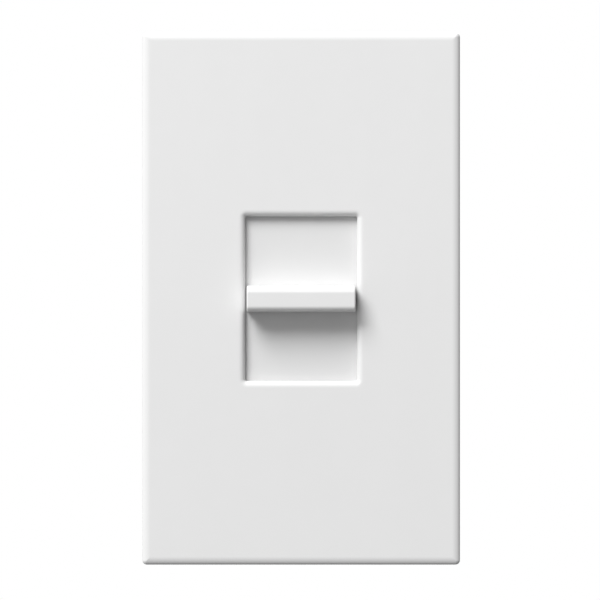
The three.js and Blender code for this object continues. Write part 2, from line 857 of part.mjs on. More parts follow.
function trimmerShaft() {
  const { front, foot, radius, footRadius } = TRIMMER_SHAFT;
  const back = TRIMMER.front - GAP;
  const shaft = turned([
    [0, front],
    [radius - 0.15, front],
    [radius, front + 0.2],
    [radius, foot],
    [footRadius, foot],
    [footRadius, back],
    [0, back],
  ]);
  const slot = block(around(0, 2 * footRadius), [front - 1, front + 0.7], around(0, 0.5));
  return combine(shaft, { cut: [slot] });
}

// Terminals

// The stamped plate that the terminal's screw is threaded into, with its foot on the board.
function terminalPlate(z) {
  const { width, thickness, footLeft } = TERMINAL_PLATE;
  const depthZ = around(z, width);
  const inner = TERMINAL_FACE_X - thickness;
  const foot = [BOARD.back + 2 * FIT, BOARD.back + thickness];
  const upright = block([inner, TERMINAL_FACE_X], [TERMINAL_Y - width / 2, foot[1]], depthZ);
  const base = block([footLeft, inner + FIT], foot, depthZ);
  const hole = rod(TERMINAL_THREAD + GAP, [-4, 4]);
  hole.rotateZ(Math.PI / 2);
  hole.translate(TERMINAL_FACE_X, TERMINAL_Y, z);
  return combine(upright, { add: [base], cut: [hole] });
}

// The clamp and the screw stand along +Y from the threaded face at y = 0.
function terminalClamp() {
  const y = [GAP, GAP + CLAMP_THICKNESS];
  const across = around(0, CLAMP_SIDE);
  const ridge = { z: CLAMP_SIDE / 2 - 0.6, width: 0.6, height: 0.3 };
  const plate = block(across, y, across);
  const edge = block(across, [y[1] - FIT, y[1] + ridge.height], around(ridge.z, ridge.width));
  const hole = rod(TERMINAL_THREAD + GAP, [y[0] - 1, y[1] + 1]);
  return combine(plate, { add: [edge], cut: [hole] });
}

function terminalScrew(threadReach) {
  const { radius, slot } = TERMINAL_HEAD;
  const [under, top] = TERMINAL_HEAD.y;
  const screw = turned([
    [0, -threadReach],
    [TERMINAL_THREAD - 0.4, -threadReach],
    [TERMINAL_THREAD, 0.5 - threadReach],
    [TERMINAL_THREAD, under],
    [radius, under],
    [radius, top - 0.4],
    [radius - 0.4, top],
    [0, top],
  ]);
  return combine(screw, { cut: [driveSlot(radius + 1, [top - slot, top + 1])] });
}

// Assembly

const dimmer = new THREE.Group();

function addPart(name, geometry, finish, parent = dimmer) {
  const material = new THREE.MeshStandardMaterial(FINISHES[finish]);
  const mesh = new THREE.Mesh(geometry, material);
  mesh.name = name;
  parent.add(mesh);
  return mesh;
}

function addCover() {
  addPart('faceplate', faceplate(), 'whitePlastic');
  addPart('plate_adapter', plateAdapter(), 'innerPlastic');
  for (const [end, sign] of [['top', 1], ['bottom', -1]]) {
    const screw = addPart(`adapter_screw_${end}`, flatScrew(), 'steel');
    screw.position.z = sign * ADAPTER_SCREW_Z;
  }
}

function addSlider() {
  addPart('slider_knob', sliderKnob(), 'whitePlastic');
  addPart('dust_shutter', dustShutter(), 'whitePlastic');
  addPart('pot_lever', potLever(), 'steel');
  addPart('carriage', carriage(), 'blackPlastic');
  addPart('wiper', wiper(), 'copper');
  addPart('switch_arm', switchArm(), 'innerPlastic');
  addPart('switch_bridge', switchBridge(), 'copper');
}

function addYoke() {
  addPart('slider_frame', sliderFrame(), 'innerPlastic');
  addPart('yoke', yoke(), 'aluminium');
  for (const [end, sign] of [['top', 1], ['bottom', -1]]) {
    const mountingScrew = panScrew({
      ...MOUNTING_SCREW,
      front: YOKE_FRONT - FIT - MOUNTING_SCREW.headHeight,
    });
    const screw = addPart(`mounting_screw_${end}`, mountingScrew, 'steel');
    screw.position.z = sign * MOUNTING_SCREW_Z;
    const retainer = addPart(`screw_retainer_${end}`, screwRetainer(), 'fibre');
    retainer.position.z = sign * MOUNTING_SCREW_Z;
  }
}

function addHousing() {
  addPart('back_housing', backHousing(), 'blackPlastic');
  addPart('insulation_sheet', insulationSheet(), 'fibre');
  const corners = [[-1, 1], [1, 1], [1, -1], [-1, -1]];
  corners.forEach(([side, end], index) => {
    const housingScrew = panScrew({
      ...HOUSING_SCREW,
      front: FIT - HOUSING.back,
      tip: -YOKE_FRONT - FIT,
    });
    const screw = addPart(`housing_screw_${index + 1}`, housingScrew, 'steel');
    screw.rotation.x = Math.PI;
    screw.position.set(side * BOSS.x, 0, end * BOSS.z);
  });
}

function addCircuit() {
  addPart('circuit_board', circuitBoard(), 'board');
  addPart('pot_frame', potFrame(), 'steel');
  addPart('pot_track', potTrack(), 'component');
  addPart('switch_rail_line', switchRail(), 'copper').position.x = LINE_RAIL_X;
  addPart('switch_rail_load', switchRail(), 'copper').position.x = LOAD_RAIL_X;
  addPart('triac_case', triacCase(), 'blackPlastic');
  addPart('triac_tab', triacTab(), 'steel');
  addPart('triac_pad', triacPad(), 'fibre');
  const triacScrew = panScrew({
    ...TRIAC_SCREW,
    front: -TRIAC.front - TRIAC.tab - FIT - TRIAC_SCREW.headHeight,
    tip: -YOKE_FRONT - FIT,
  });
  const screw = addPart('triac_screw', triacScrew, 'steel');
  screw.rotation.x = Math.PI;
  screw.position.set(TRIAC.x, 0, TRIAC_SCREW_Z);
  addPart('choke_core', chokeCore(), 'ferrite').position.set(CHOKE.x, CHOKE.y, CHOKE.z);
  addPart('choke_winding', chokeWinding(), 'copper').position.set(CHOKE.x, CHOKE.y, CHOKE.z);
  addPart('filter_capacitor', boxedCapacitor(FILTER_CAPACITOR), 'yellowFilm');
  addPart('timing_capacitor', boxedCapacitor(TIMING_CAPACITOR), 'component');
  addPart('trimmer_body', trimmerBody(), 'innerPlastic');
  addPart('trimmer_shaft', trimmerShaft(), 'whitePlastic').position.set(TRIMMER.x, 0, TRIMMER.z);
}

// Parts with wires at both ends, which lie along Z behind the board.
function addAxialParts() {
  const resistor = { radius: 1.2, length: 6.3, wireLength: 13 };
  const rows = [
    { name: 'resistor_1', size: resistor, x: 1.4, z: -18 },
    { name: 'resistor_2', size: resistor, x: 4.8, z: -18 },
    { name: 'diac', size: { radius: 1, length: 4, wireLength: 10 }, x: 3.6, z: 0 },
  ];
  for (const { name, size, x, z } of rows) {
    const part = addPart(name, axialPart(size), 'component');
    part.rotation.x = Math.PI / 2;
    part.position.set(x, BOARD.back + FIT + size.radius, z);
  }
}

function addTerminal({ name, finish, position, rotation, threadReach }) {
  const terminal = new THREE.Group();
  terminal.position.set(...position);
  terminal.rotation.set(...rotation);
  addPart(`${name}_clamp`, terminalClamp(), 'steel', terminal);
  addPart(`${name}_screw`, terminalScrew(threadReach), finish, terminal);
  dimmer.add(terminal);
}

function addTerminals() {
  for (const [name, sign] of [['line', 1], ['load', -1]]) {
    const z = sign * TERMINAL_Z;
    addPart(`${name}_plate`, terminalPlate(z), 'brass');
    addTerminal({
      name,
      finish: 'brass',
      position: [TERMINAL_FACE_X, TERMINAL_Y, z],
      rotation: [0, 0, -Math.PI / 2],
      threadReach: 5.2,
    });
  }
  addTerminal({
    name: 'ground',
    finish: 'greenSteel',
    position: [GROUND.x, GROUND.y, GROUND.face],
    rotation: [-Math.PI / 2, 0, 0],
    threadReach: 2.4,
  });
}

addCover();
addSlider();
addYoke();
addHousing();
addCircuit();
addAxialParts();
addTerminals();

export default dimmer;
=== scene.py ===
"""A slide dimmer: fine meshes, materials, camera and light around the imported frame.

Shapes are written in millimetres in the frame's own axes and scaled to metres as they are made.
"""

import json
import math

import bmesh
import bpy
from mathutils import Matrix, Vector


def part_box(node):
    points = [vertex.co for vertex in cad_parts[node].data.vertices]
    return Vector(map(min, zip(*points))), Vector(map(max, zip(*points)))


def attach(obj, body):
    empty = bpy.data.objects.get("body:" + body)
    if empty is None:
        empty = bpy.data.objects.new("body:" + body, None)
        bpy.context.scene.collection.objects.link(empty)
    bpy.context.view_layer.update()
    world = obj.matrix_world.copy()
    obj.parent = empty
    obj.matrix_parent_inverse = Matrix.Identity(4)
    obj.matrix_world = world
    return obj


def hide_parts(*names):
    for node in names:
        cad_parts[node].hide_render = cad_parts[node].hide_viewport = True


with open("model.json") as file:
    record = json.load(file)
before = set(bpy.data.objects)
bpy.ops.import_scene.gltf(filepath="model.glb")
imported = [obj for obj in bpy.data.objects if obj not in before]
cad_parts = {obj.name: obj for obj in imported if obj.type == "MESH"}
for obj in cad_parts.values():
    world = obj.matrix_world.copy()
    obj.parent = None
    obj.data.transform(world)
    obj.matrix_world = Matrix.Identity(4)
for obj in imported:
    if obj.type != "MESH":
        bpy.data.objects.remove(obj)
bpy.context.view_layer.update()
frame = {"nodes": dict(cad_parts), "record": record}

MM = 0.001

# Camera: the width that it takes in at the cover's face, its lens, and the point that it looks at
VIEW_WIDTH = 131.8
LENS = 200.0
SENSOR = 36.0
VIEW_CENTRE = (-0.25, -0.30)

# Light: white surroundings, a large soft source at the upper left and one behind; the pale floor lies a
# wall switch's usual height below
SKY_SEEN = 1.0
SKY_MIRRORED = 0.5
SKY_LIGHT = 0.355
SKY_TILT = 1.0
SKY_BRIGHT_SIDE = Vector((-0.7, 0.0, 0.7))
KEY_DIRECTION = Vector((-0.66, -1.0, 1.22))
LIGHT_DISTANCE = 2.6
KEY_SIZE = (1.35, 1.35)
KEY_POWER = 78.0
BACK_DIRECTION = Vector((0.2, 1.0, 0.5))
BACK_SIZE = (1.2, 1.2)
BACK_POWER = 30.0
FLOOR_DROP = 1.1
FLOOR_RADIUS = 6.0
FLOOR_FADE = (0.35, 1.7)

# Fineness of round forms
CORNER_STEPS = 6
CIRCLE_STEPS = 40
LEAST_RADIUS = 0.02

# Corners sharper than the first two angles stay hard; within the third, faces count as one, and within
# the last distance, points do
SHARP_ABOVE = 35.0
HARD_CORNER = 40.0
FLAT_WITHIN = 0.4
WELD_WITHIN = 0.001

# The lower and the higher end of an axis, and ways to face
SIDES = (-1, 1)
RIGHT = (1, 0, 0)
LEFT = (-1, 0, 0)
BACK = (0, 1, 0)
FRONT = (0, -1, 0)
UP = (0, 0, 1)
DOWN = (0, 0, -1)

# Play between pieces that move past each other
PLAY = 0.3

# Each node's material slot and body
SLOTS = {row["node"]: row["material_slot"] for row in frame["record"]["subparts"]}
BODIES = {node: body for body, nodes in frame["record"]["behaviour"]["bodies"].items() for node in nodes}


def span(node):
    """A node's lowest and highest corner in millimetres."""
    low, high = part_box(node)
    return Vector(low) / MM, Vector(high) / MM


def middle(node):
    """The middle of a node's box in millimetres."""
    low, high = span(node)
    return (low + high) / 2


# ---- outlines


def outline(corners, steps=CORNER_STEPS):
    """A closed anticlockwise outline of (x, z, radius) corners, as a function of its inset."""

    def points(inset=0.0):
        loop = []
        for i, (x, z, radius) in enumerate(corners):
            here = Vector((x, z))
            before = Vector(corners[i - 1][:2])
            after = Vector(corners[(i + 1) % len(corners)][:2])
            loop += rounded_corner(before, here, after, radius, inset, steps)
        return loop

    return points


def rounded_corner(before, here, after, radius, inset, steps):
    """The arc that rounds one corner, once both its edges are moved inward by inset."""
    arriving = (here - before).normalized()
    leaving = (after - here).normalized()
    inward = Vector((-arriving.y, arriving.x))
    next_inward = Vector((-leaving.y, leaving.x))
    turn = math.atan2(arriving.cross(leaving), arriving.dot(leaving))
    side = math.copysign(1.0, turn)
    corner = here + (inward + next_inward) * inset / (1 + inward.dot(next_inward))
    radius = max(radius - side * inset, LEAST_RADIUS)
    start = corner - arriving * radius * math.tan(abs(turn) / 2)
    centre = start + inward * side * radius
    arm = start - centre
    return [centre + Matrix.Rotation(turn * k / steps, 2) @ arm for k in range(steps + 1)]


def rectangle(width, height, radius, x=0.0, z=0.0, steps=CORNER_STEPS):
    """A rectangle with rounded corners about (x, z)."""
    w, h = width / 2, height / 2
    places = [(x - w, z - h), (x + w, z - h), (x + w, z + h), (x - w, z + h)]
    return outline([(*place, radius) for place in places], steps)


def circle(radius, x=0.0, z=0.0, steps=CIRCLE_STEPS):
    """A round outline about (x, z)."""

    def points(inset=0.0):
        turns = [2 * math.pi * k / steps for k in range(steps)]
        reach = radius - inset
        return [Vector((x + reach * math.cos(a), z + reach * math.sin(a))) for a in turns]

    return points


# ---- levels and rings


def quarter(steps):
    """Fractions (1 - cos, sin) along a quarter turn, both ends included."""
    turns = [math.pi / 2 * k / steps for k in range(steps + 1)]
    return [(1 - math.cos(a), math.sin(a)) for a in turns]


def face_to_side(inset, y, depth, steps=3):
    """Levels of (inset, y) round an edge, from a face at y to a side that isn't set in."""
    return [(inset * (1 - run), y + depth * rise) for rise, run in quarter(steps)]


def side_to_face(inset, y, depth, steps=3):
    """Levels of (inset, y) round an edge, from a side that isn't set in to a face at y."""
    return [(inset * rise, y + depth * (1 - run)) for rise, run in quarter(steps)]


def rounded(back, front, edge, steps=3):
    """Levels of a plate from y = back to y = front, with both faces' edges rounded."""
    return face_to_side(edge, back, -edge, steps) + side_to_face(edge, front, edge, steps)


def square(back, front):
    """Levels of a plate with square edges."""
    return [(0, back), (0, front)]


def rings_along(path):
    """Rings of (loop, y) from a path of (outline, levels)."""
    return [(shape(inset), y) for shape, levels in path for inset, y in levels]


# ---- solids


def add_ring(bm, loop, y):
    """The vertices of one outline laid at depth y."""
    return [bm.verts.new((p[0], y, p[1])) for p in loop]


def bridge(bm, ring, other):
    """Quads between two rings of the same number of points."""
    count = len(ring)
    for i in range(count):
        j = (i + 1) % count
        bm.faces.new((ring[i], ring[j], other[j], other[i]))


def ring_edges(bm, ring):
    """The edges that close one ring."""
    return [bm.edges.get((ring[i - 1], ring[i])) for i in range(len(ring))]


def skin(bm, rings, closed=False):
    """Faces over rings of vertices, capped at both ends or, when closed, joined end to end."""
    for ring, other in zip(rings, rings[1:]):
        bridge(bm, ring, other)
    if closed:
        bridge(bm, rings[-1], rings[0])
    else:
        bm.faces.new(rings[0])
        bm.faces.new(rings[-1])
    return bm


def stack(rings, closed=False):
    """A solid with a skin over rings of (loop, y)."""
    bm = bmesh.new()
    return skin(bm, [add_ring(bm, loop, y) for loop, y in rings], closed)


def sheet(outer, holes, levels):
    """A plate with holes through it, from levels of (inset, y) that run from its back to its front."""
    bm = bmesh.new()
    back, front = [], []
    for shape, grow in [(outer, 1), *[(hole, -1) for hole in holes]]:
        rings = [add_ring(bm, shape(grow * inset), y) for inset, y in levels]
        for ring, other in zip(rings, rings[1:]):
            bridge(bm, ring, other)
        back += ring_edges(bm, rings[0])
        front += ring_edges(bm, rings[-1])
    for rim in (back, front):
        bmesh.ops.triangle_fill(bm, use_beauty=True, use_dissolve=False, edges=rim)
    return bm


def box(x, y, z, edge=0.0):
    """A block from three (low, high) ranges, its edges rounded where edge is given."""
    steps = CORNER_STEPS if edge else 1
    shape = rectangle(x[1] - x[0], z[1] - z[0], edge, sum(x) / 2, sum(z) / 2, steps)
    levels = rounded(y[1], y[0], edge) if edge else square(y[1], y[0])
    return sheet(shape, [], levels)


def rod(radius, y, x=0.0, z=0.0):
    """A plain round bar along Y."""
    return sheet(circle(radius, x, z), [], square(y[1], y[0]))


def facing(bm, position, rotation):
    """Turns a solid built about the origin and moves it to its place."""
    bmesh.ops.transform(bm, matrix=Matrix.Translation(position) @ rotation.to_4x4(), verts=bm.verts)
    return bm


def quarter_turn(axis, sign=1):
    """A quarter turn about an axis."""
    return Matrix.Rotation(sign * math.pi / 2, 3, axis)


def turn_to(direction):
    """The least turn that takes +Y to a direction."""
    return Vector(BACK).rotation_difference(Vector(direction)).to_matrix()


# ---- objects


def in_scene(name, data):
    """A new object in the scene."""
    obj = bpy.data.objects.new(name, data)
    bpy.context.scene.collection.objects.link(obj)
    return obj


def raw_object(name, bm):
    """A mesh object in metres from a solid in millimetres."""
    bmesh.ops.recalc_face_normals(bm, faces=bm.faces)
    bmesh.ops.scale(bm, vec=(MM, MM, MM), verts=bm.verts)
    mesh = bpy.data.meshes.new(name)
    bm.to_mesh(mesh)
    bm.free()
    return in_scene(name, mesh)


def carve(obj, solids, operation="DIFFERENCE"):
    """Cuts solids out of obj, or joins them on, and keeps the result as its mesh."""
    tools = [raw_object("tool", bm) for bm in solids]
    for tool in tools:
        change = obj.modifiers.new("change", "BOOLEAN")
        change.operation = operation
        change.solver = "EXACT"
        change.object = tool
    bpy.context.view_layer.update()
    graph = bpy.context.evaluated_depsgraph_get()
    result = bpy.data.meshes.new_from_object(obj.evaluated_get(graph))
    obj.modifiers.clear()
    obj.data = result
    for tool in tools:
        bpy.data.objects.remove(tool)


def smooth(obj, sharp_above):
    """Smooth shading that keeps flat faces flat and hard corners hard."""
    mesh = obj.data
    mesh.polygons.foreach_set("use_smooth", [True] * len(mesh.polygons))
    mesh.set_sharp_from_angle(angle=math.radians(sharp_above))
    even = obj.modifiers.new("even normals", "WEIGHTED_NORMAL")
    even.keep_sharp = True


def piece(obj, node, edge=0.0, sharp_above=SHARP_ABOVE, look=None):
    """Finishes one piece that stands for a node: its shading, material and body; the node itself is
    hidden.
    """
    if edge:
        soften(obj, edge)
    else:
        smooth(obj, sharp_above)
    obj.data.materials.clear()
    obj.data.materials.append(looks[look or SLOTS[node]])
    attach(obj, BODIES[node])
    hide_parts(node)


def main_axis(direction):
    """The number of the axis that a direction lies along."""
    return max(range(3), key=lambda axis: abs(direction[axis]))


def placed(obj, node, direction):
    """Moves a mesh built from the origin along +Y into a node's box, to point along a direction."""
    low, high = span(node)
    along = main_axis(direction)
    start = (low + high) / 2
    start[along] = low[along] if direction[along] > 0 else high[along]
    obj.data.transform(Matrix.Translation(start * MM) @ turn_to(direction).to_4x4())


# ---- node trees


class Network:
    """A node tree to build in."""

    def __init__(self, tree):
        self.nodes = tree.nodes
        self.links = tree.links
        self.nodes.clear()

    def put(self, kind, inputs=None, **settings):
        """Adds a node; inputs are values, (r, g, b) colours or sockets, by name or number."""
        node = self.nodes.new(kind)
        for name, value in settings.items():
            setattr(node, name, value)
        for name, value in (inputs or {}).items():
            socket = node.inputs[name]
            if isinstance(value, bpy.types.NodeSocket):
                self.links.new(value, socket)
            elif socket.type == "RGBA":
                socket.default_value = (*value, 1.0)
            else:
                socket.default_value = value
        return node

    def between(self, value, low, high, start=0.35, end=0.65):
        """Maps a value from start..end to low..high."""
        inputs = {0: value, 1: start, 2: end, 3: low, 4: high}
        return self.put("ShaderNodeMapRange", inputs).outputs[0]


def soft_edge_group():
    """A node group that smooths a mesh's shading and marks its hard corners."""
    group = bpy.data.node_groups.new("soft edges", "GeometryNodeTree")
    for way in ("INPUT", "OUTPUT"):
        group.interface.new_socket("Geometry", in_out=way, socket_type="NodeSocketGeometry")
    net = Network(group)
    shade = "GeometryNodeSetShadeSmooth"
    start = net.put("NodeGroupInput").outputs[0]
    faces = net.put(shade, {"Geometry": start}, domain="FACE").outputs[0]
    angle = net.put("GeometryNodeInputMeshEdgeAngle").outputs["Unsigned Angle"]
    hard = net.put("FunctionNodeCompare", {"A": angle, "B": math.radians(HARD_CORNER)}).outputs[0]
    inputs = {"Geometry": faces, "Selection": hard, "Shade Smooth": False}
    net.put("NodeGroupOutput", {0: net.put(shade, inputs, domain="EDGE").outputs[0]})
    return group


soft_edges = soft_edge_group()


def soften(obj, edge):
    """Rounds an object's hard corners by edge millimetres and smooths its shading."""
    weld = obj.modifiers.new("weld", "WELD")
    weld.merge_threshold = WELD_WITHIN * MM
    flats = obj.modifiers.new("flats", "DECIMATE")
    flats.decimate_type = "DISSOLVE"
    flats.angle_limit = math.radians(FLAT_WITHIN)
    bevel = obj.modifiers.new("bevel", "BEVEL")
    bevel.width = edge * MM
    bevel.segments = 2
    bevel.limit_method = "ANGLE"
    bevel.angle_limit = math.radians(HARD_CORNER)
    shade = obj.modifiers.new("shade", "NODES")
    shade.node_group = soft_edges
    even = obj.modifiers.new("even", "WEIGHTED_NORMAL")
    even.keep_sharp = True


# ---- material tools


class Shader(Network):
    """One node material, with short calls for the networks that the finishes share."""

    def __init__(self, name):
        self.material = bpy.data.materials.new(name)
        self.material.use_nodes = True
        super().__init__(self.material.node_tree)
        self.place = self.put("ShaderNodeTexCoord").outputs["Object"]

    def spot(self, size, stretch=(1, 1, 1)):
        """The place on the object, measured in features of size millimetres."""
        scale = tuple(1 / (size * MM * s) for s in stretch)
        return self.put("ShaderNodeMapping", {"Vector": self.place, "Scale": scale}).outputs[0]

    def noise(self, size, detail=2.0, stretch=(1, 1, 1)):
        """Soft noise with features about size millimetres across."""
        inputs = {"Vector": self.spot(size, stretch), "Scale": 1.0, "Detail": detail}
        return self.put("ShaderNodeTexNoise", inputs).outputs["Fac"]

    def grains(self, size):
        """Cells about size millimetres across, dark in their middles."""
        inputs = {"Vector": self.spot(size), "Scale": 1.0}
        return self.put("ShaderNodeTexVoronoi", inputs).outputs["Distance"]

    def mix(self, factor, a, b):
        """A colour between a and b."""
        return self.put("ShaderNodeMix", {0: factor, 6: a, 7: b}, data_type="RGBA").outputs[2]

    def times(self, a, b):
        """The product of two numbers."""
        return self.put("ShaderNodeMath", {0: a, 1: b}, operation="MULTIPLY").outputs[0]

    def plus(self, a, b):
        """The sum of two numbers."""
        return self.put("ShaderNodeMath", {0: a, 1: b}, operation="ADD").outputs[0]

    def edges(self, width):
        """One along corners sharper than a gentle curve, fading to nought width millimetres away."""
        bent = self.put("ShaderNodeBevel", {"Radius": width * MM}, samples=6).outputs[0]
        true = self.put("ShaderNodeNewGeometry").outputs["Normal"]
        dot = self.put("ShaderNodeVectorMath", {0: bent, 1: true}, operation="DOT_PRODUCT")
        return self.between(dot.outputs["Value"], 1.0, 0.0, 0.86, 0.99)

    def bump(self, height, depth, under=None):
        """Raises the surface by height times depth millimetres, over the normal under."""
        inputs = {"Height": height, "Distance": depth * MM, "Strength": 1.0}
        if under is not None:
            inputs["Normal"] = under
        return self.put("ShaderNodeBump", inputs).outputs["Normal"]

    def done(self, colour, rough, normal=None, **more):
        """Wires the main shader, its other inputs named in words, and gives the material."""
        inputs = {name.replace("_", " "): value for name, value in more.items()}
        inputs.update({"Base Color": colour, "Roughness": rough})
        if normal is not None:
            inputs["Normal"] = normal
        main = self.put("ShaderNodeBsdfPrincipled", inputs)
        self.put("ShaderNodeOutputMaterial", {"Surface": main.outputs[0]})
        return self.material


# ---- finishes


def moulded_white(s, tone, roughness):
    """White moulded plastic: a fine satin grain, faint flow marks and edges polished by handling."""
    flow = s.noise(14.0, 2.0, (1, 1, 2.5))
    grain = s.noise(0.16, 3.0)
    worn = s.edges(0.5)
    deep, pale = [tuple(share * c for c in tone) for share in (0.996, 1.004)]
    colour = s.mix(s.between(flow, 0.0, 1.0), deep, pale)
    hazy = s.between(s.noise(3.5, 4.0), roughness - 0.05, roughness + 0.05)
    rough = s.plus(hazy, s.times(worn, -0.09))
    normal = s.bump(grain, 0.006, s.bump(flow, 0.006))
    return s.done(colour, rough, normal, IOR=1.5)


def moulded_black(s):
    """Black phenolic: mottled, a little glossy, with grey rubbed edges and fine scuffs."""
    mottle = s.noise(0.9, 5.0)
    scuffs = s.between(s.noise(5.0, 6.0, (1, 1, 0.12)), 0.0, 1.0, 0.62, 0.72)
    worn = s.times(s.edges(0.35), s.between(s.noise(1.6, 4.0), 0.1, 1.0))
    colour = s.mix(s.between(mottle, 0.0, 1.0), (0.020, 0.020, 0.021), (0.034, 0.034, 0.036))
    colour = s.mix(s.times(worn, 0.6), colour, (0.16, 0.16, 0.165))
    rough = s.plus(s.between(mottle, 0.34, 0.5), s.times(scuffs, 0.16))
    normal = s.bump(s.noise(0.22, 3.0), 0.012, s.bump(mottle, 0.01))
    return s.done(colour, rough, normal)


def rolled_aluminium(s):
    """Rolled aluminium sheet: lines along its length, a light haze and brighter cut edges."""
    lines = s.noise(0.22, 4.0, (1, 1, 60))
    haze = s.noise(9.0, 4.0)
    cut = s.edges(0.25)
    colour = s.mix(s.between(lines, 0.0, 1.0), (0.66, 0.67, 0.68), (0.82, 0.83, 0.84))
    colour = s.mix(s.times(cut, 0.5), colour, (0.92, 0.92, 0.93))
    rough = s.plus(s.between(haze, 0.27, 0.4), s.between(lines, -0.04, 0.06))
    normal = s.bump(lines, 0.004)
    return s.done(colour, rough, normal, Metallic=1.0)


def plated(s, dark, bright, stain, roughness):
    """A plated or turned metal: cloudy tone, tarnish away from the edges, and a fine tumbled texture."""
    cloud = s.noise(1.8, 4.0)
    tarnish = s.between(s.noise(3.4, 5.0), 0.0, 0.55, 0.5, 0.68)
    bare = s.edges(0.16)
    colour = s.mix(s.between(cloud, 0.0, 1.0), dark, bright)
    colour = s.mix(tarnish, colour, stain)
    colour = s.mix(s.times(bare, 0.45), colour, bright)
    rough = s.plus(s.between(cloud, roughness - 0.06, roughness + 0.08), s.times(tarnish, 0.12))
    normal = s.bump(s.noise(0.18, 3.0), 0.004)
    return s.done(colour, rough, normal, Metallic=1.0)


def dyed_green(s):
    """A green dyed screw: thin colour over steel, rubbed through along its edges."""
    cloud = s.noise(1.3, 4.0)
    bare = s.times(s.edges(0.14), s.between(s.noise(0.7, 4.0), 0.1, 1.0))
    colour = s.mix(s.between(cloud, 0.0, 1.0), (0.028, 0.2, 0.075), (0.06, 0.33, 0.13))
    colour = s.mix(bare, colour, (0.62, 0.64, 0.6))
    rough = s.between(cloud, 0.28, 0.42)
    normal = s.bump(s.noise(0.2, 3.0), 0.005)
    return s.done(colour, rough, normal, Metallic=0.85)


def pressed_fibre(s):
    """Vulcanised fibre: felted fibres, a brown cast and a dull surface."""
    along = s.noise(0.35, 4.0, (8, 1, 1))
    across = s.noise(0.3, 4.0, (1, 1, 8))
    fibres = s.times(s.plus(along, across), 0.5)
    colour = s.mix(s.between(fibres, 0.0, 1.0, 0.4, 0.6), (0.27, 0.18, 0.10), (0.47, 0.34, 0.2))
    rough = s.between(fibres, 0.62, 0.82)
    normal = s.bump(fibres, 0.03)
    return s.done(colour, rough, normal)


def phenolic_board(s):
    """Paper phenolic circuit board: amber brown resin over a faint paper texture."""
    paper = s.noise(0.5, 5.0, (3, 1, 1))
    cloud = s.noise(7.0, 3.0)
    colour = s.mix(s.between(paper, 0.0, 1.0), (0.34, 0.2, 0.085), (0.5, 0.32, 0.15))
    colour = s.mix(s.between(cloud, 0.0, 0.3), colour, (0.3, 0.16, 0.06))
    rough = s.between(paper, 0.38, 0.52)
    normal = s.bump(paper, 0.012)
    return s.done(colour, rough, normal)


def carbon_film(s):
    """Resistive carbon film: matt black with fine print grain and wiper tracks."""
    tracks = s.noise(0.4, 3.0, (1, 1, 80))
    grain = s.noise(0.12, 3.0)
    colour = s.mix(s.between(tracks, 0.0, 1.0), (0.022, 0.02, 0.019), (0.06, 0.056, 0.052))
    rough = s.between(tracks, 0.7, 0.5)
    normal = s.bump(grain, 0.008, s.bump(tracks, 0.006))
    return s.done(colour, rough, normal)


def silicone_pad(s):
    """Thermal pad: grey silicone over a woven glass backing that prints through."""
    warp = s.put("ShaderNodeTexWave", {"Vector": s.spot(0.6), "Scale": 1.0}, bands_direction="X")
    weft = s.put("ShaderNodeTexWave", {"Vector": s.spot(0.6), "Scale": 1.0}, bands_direction="Z")
    weave = s.times(s.plus(warp.outputs["Fac"], weft.outputs["Fac"]), 0.5)
    colour = s.mix(weave, (0.42, 0.42, 0.44), (0.6, 0.6, 0.62))
    rough = s.between(weave, 0.6, 0.75, 0.0, 1.0)
    return s.done(colour, rough, s.bump(weave, 0.02))


def coated_ferrite(s):
    """Powdered iron under a green-grey dip: lumpy, dull, thin at the edges."""
    lumps = s.noise(0.7, 5.0)
    thin = s.edges(0.4)
    colour = s.mix(s.between(lumps, 0.0, 1.0), (0.085, 0.12, 0.1), (0.14, 0.19, 0.165))
    colour = s.mix(s.times(thin, 0.5), colour, (0.06, 0.06, 0.058))
    rough = s.between(lumps, 0.5, 0.72)
    return s.done(colour, rough, s.bump(lumps, 0.05))


def enamelled_copper(s):
    """Enamelled copper winding: turns side by side under an amber varnish."""
    cloud = s.noise(1.2, 4.0)
    colour = s.mix(s.between(cloud, 0.0, 1.0), (0.46, 0.15, 0.045), (0.72, 0.31, 0.11))
    rough = s.between(cloud, 0.22, 0.36)
    normal = s.bump(s.noise(0.3, 2.0), 0.01)
    coat = {"Coat_Weight": 0.6, "Coat_Roughness": 0.12}
    return s.done(colour, rough, normal, Metallic=0.9, **coat)


def dipped_case(s, deep, bright):
    """A dipped or potted component body: glossy resin with an uneven skin."""
    cloud = s.noise(2.6, 4.0)
    pits = s.between(s.grains(0.5), 0.0, 1.0, 0.1, 0.45)
    colour = s.mix(s.between(cloud, 0.0, 1.0), deep, bright)
    rough = s.plus(s.between(cloud, 0.2, 0.34), s.times(pits, 0.05))
    normal = s.bump(s.noise(0.8, 3.0), 0.03, s.bump(pits, 0.006))
    coat = {"Coat_Weight": 0.3, "Coat_Roughness": 0.2}
    return s.done(colour, rough, normal, **coat)


def floor_finish(s):
    """A plain pale matt floor that fades out into the white surroundings."""
    away = s.put("ShaderNodeVectorMath", {0: s.place}, operation="LENGTH").outputs["Value"]
    solid = s.between(away, 1.0, 0.0, *FLOOR_FADE)
    return s.done((0.82, 0.82, 0.82), 0.9, Alpha=solid)


WHITE = (0.80, 0.80, 0.80)
# The shutter's white is the cover's white made darker: painted shade for the recess behind the window
SHUTTER_SHADED_WHITE = (0.735, 0.735, 0.735)
INNER_WHITE = (0.74, 0.735, 0.71)

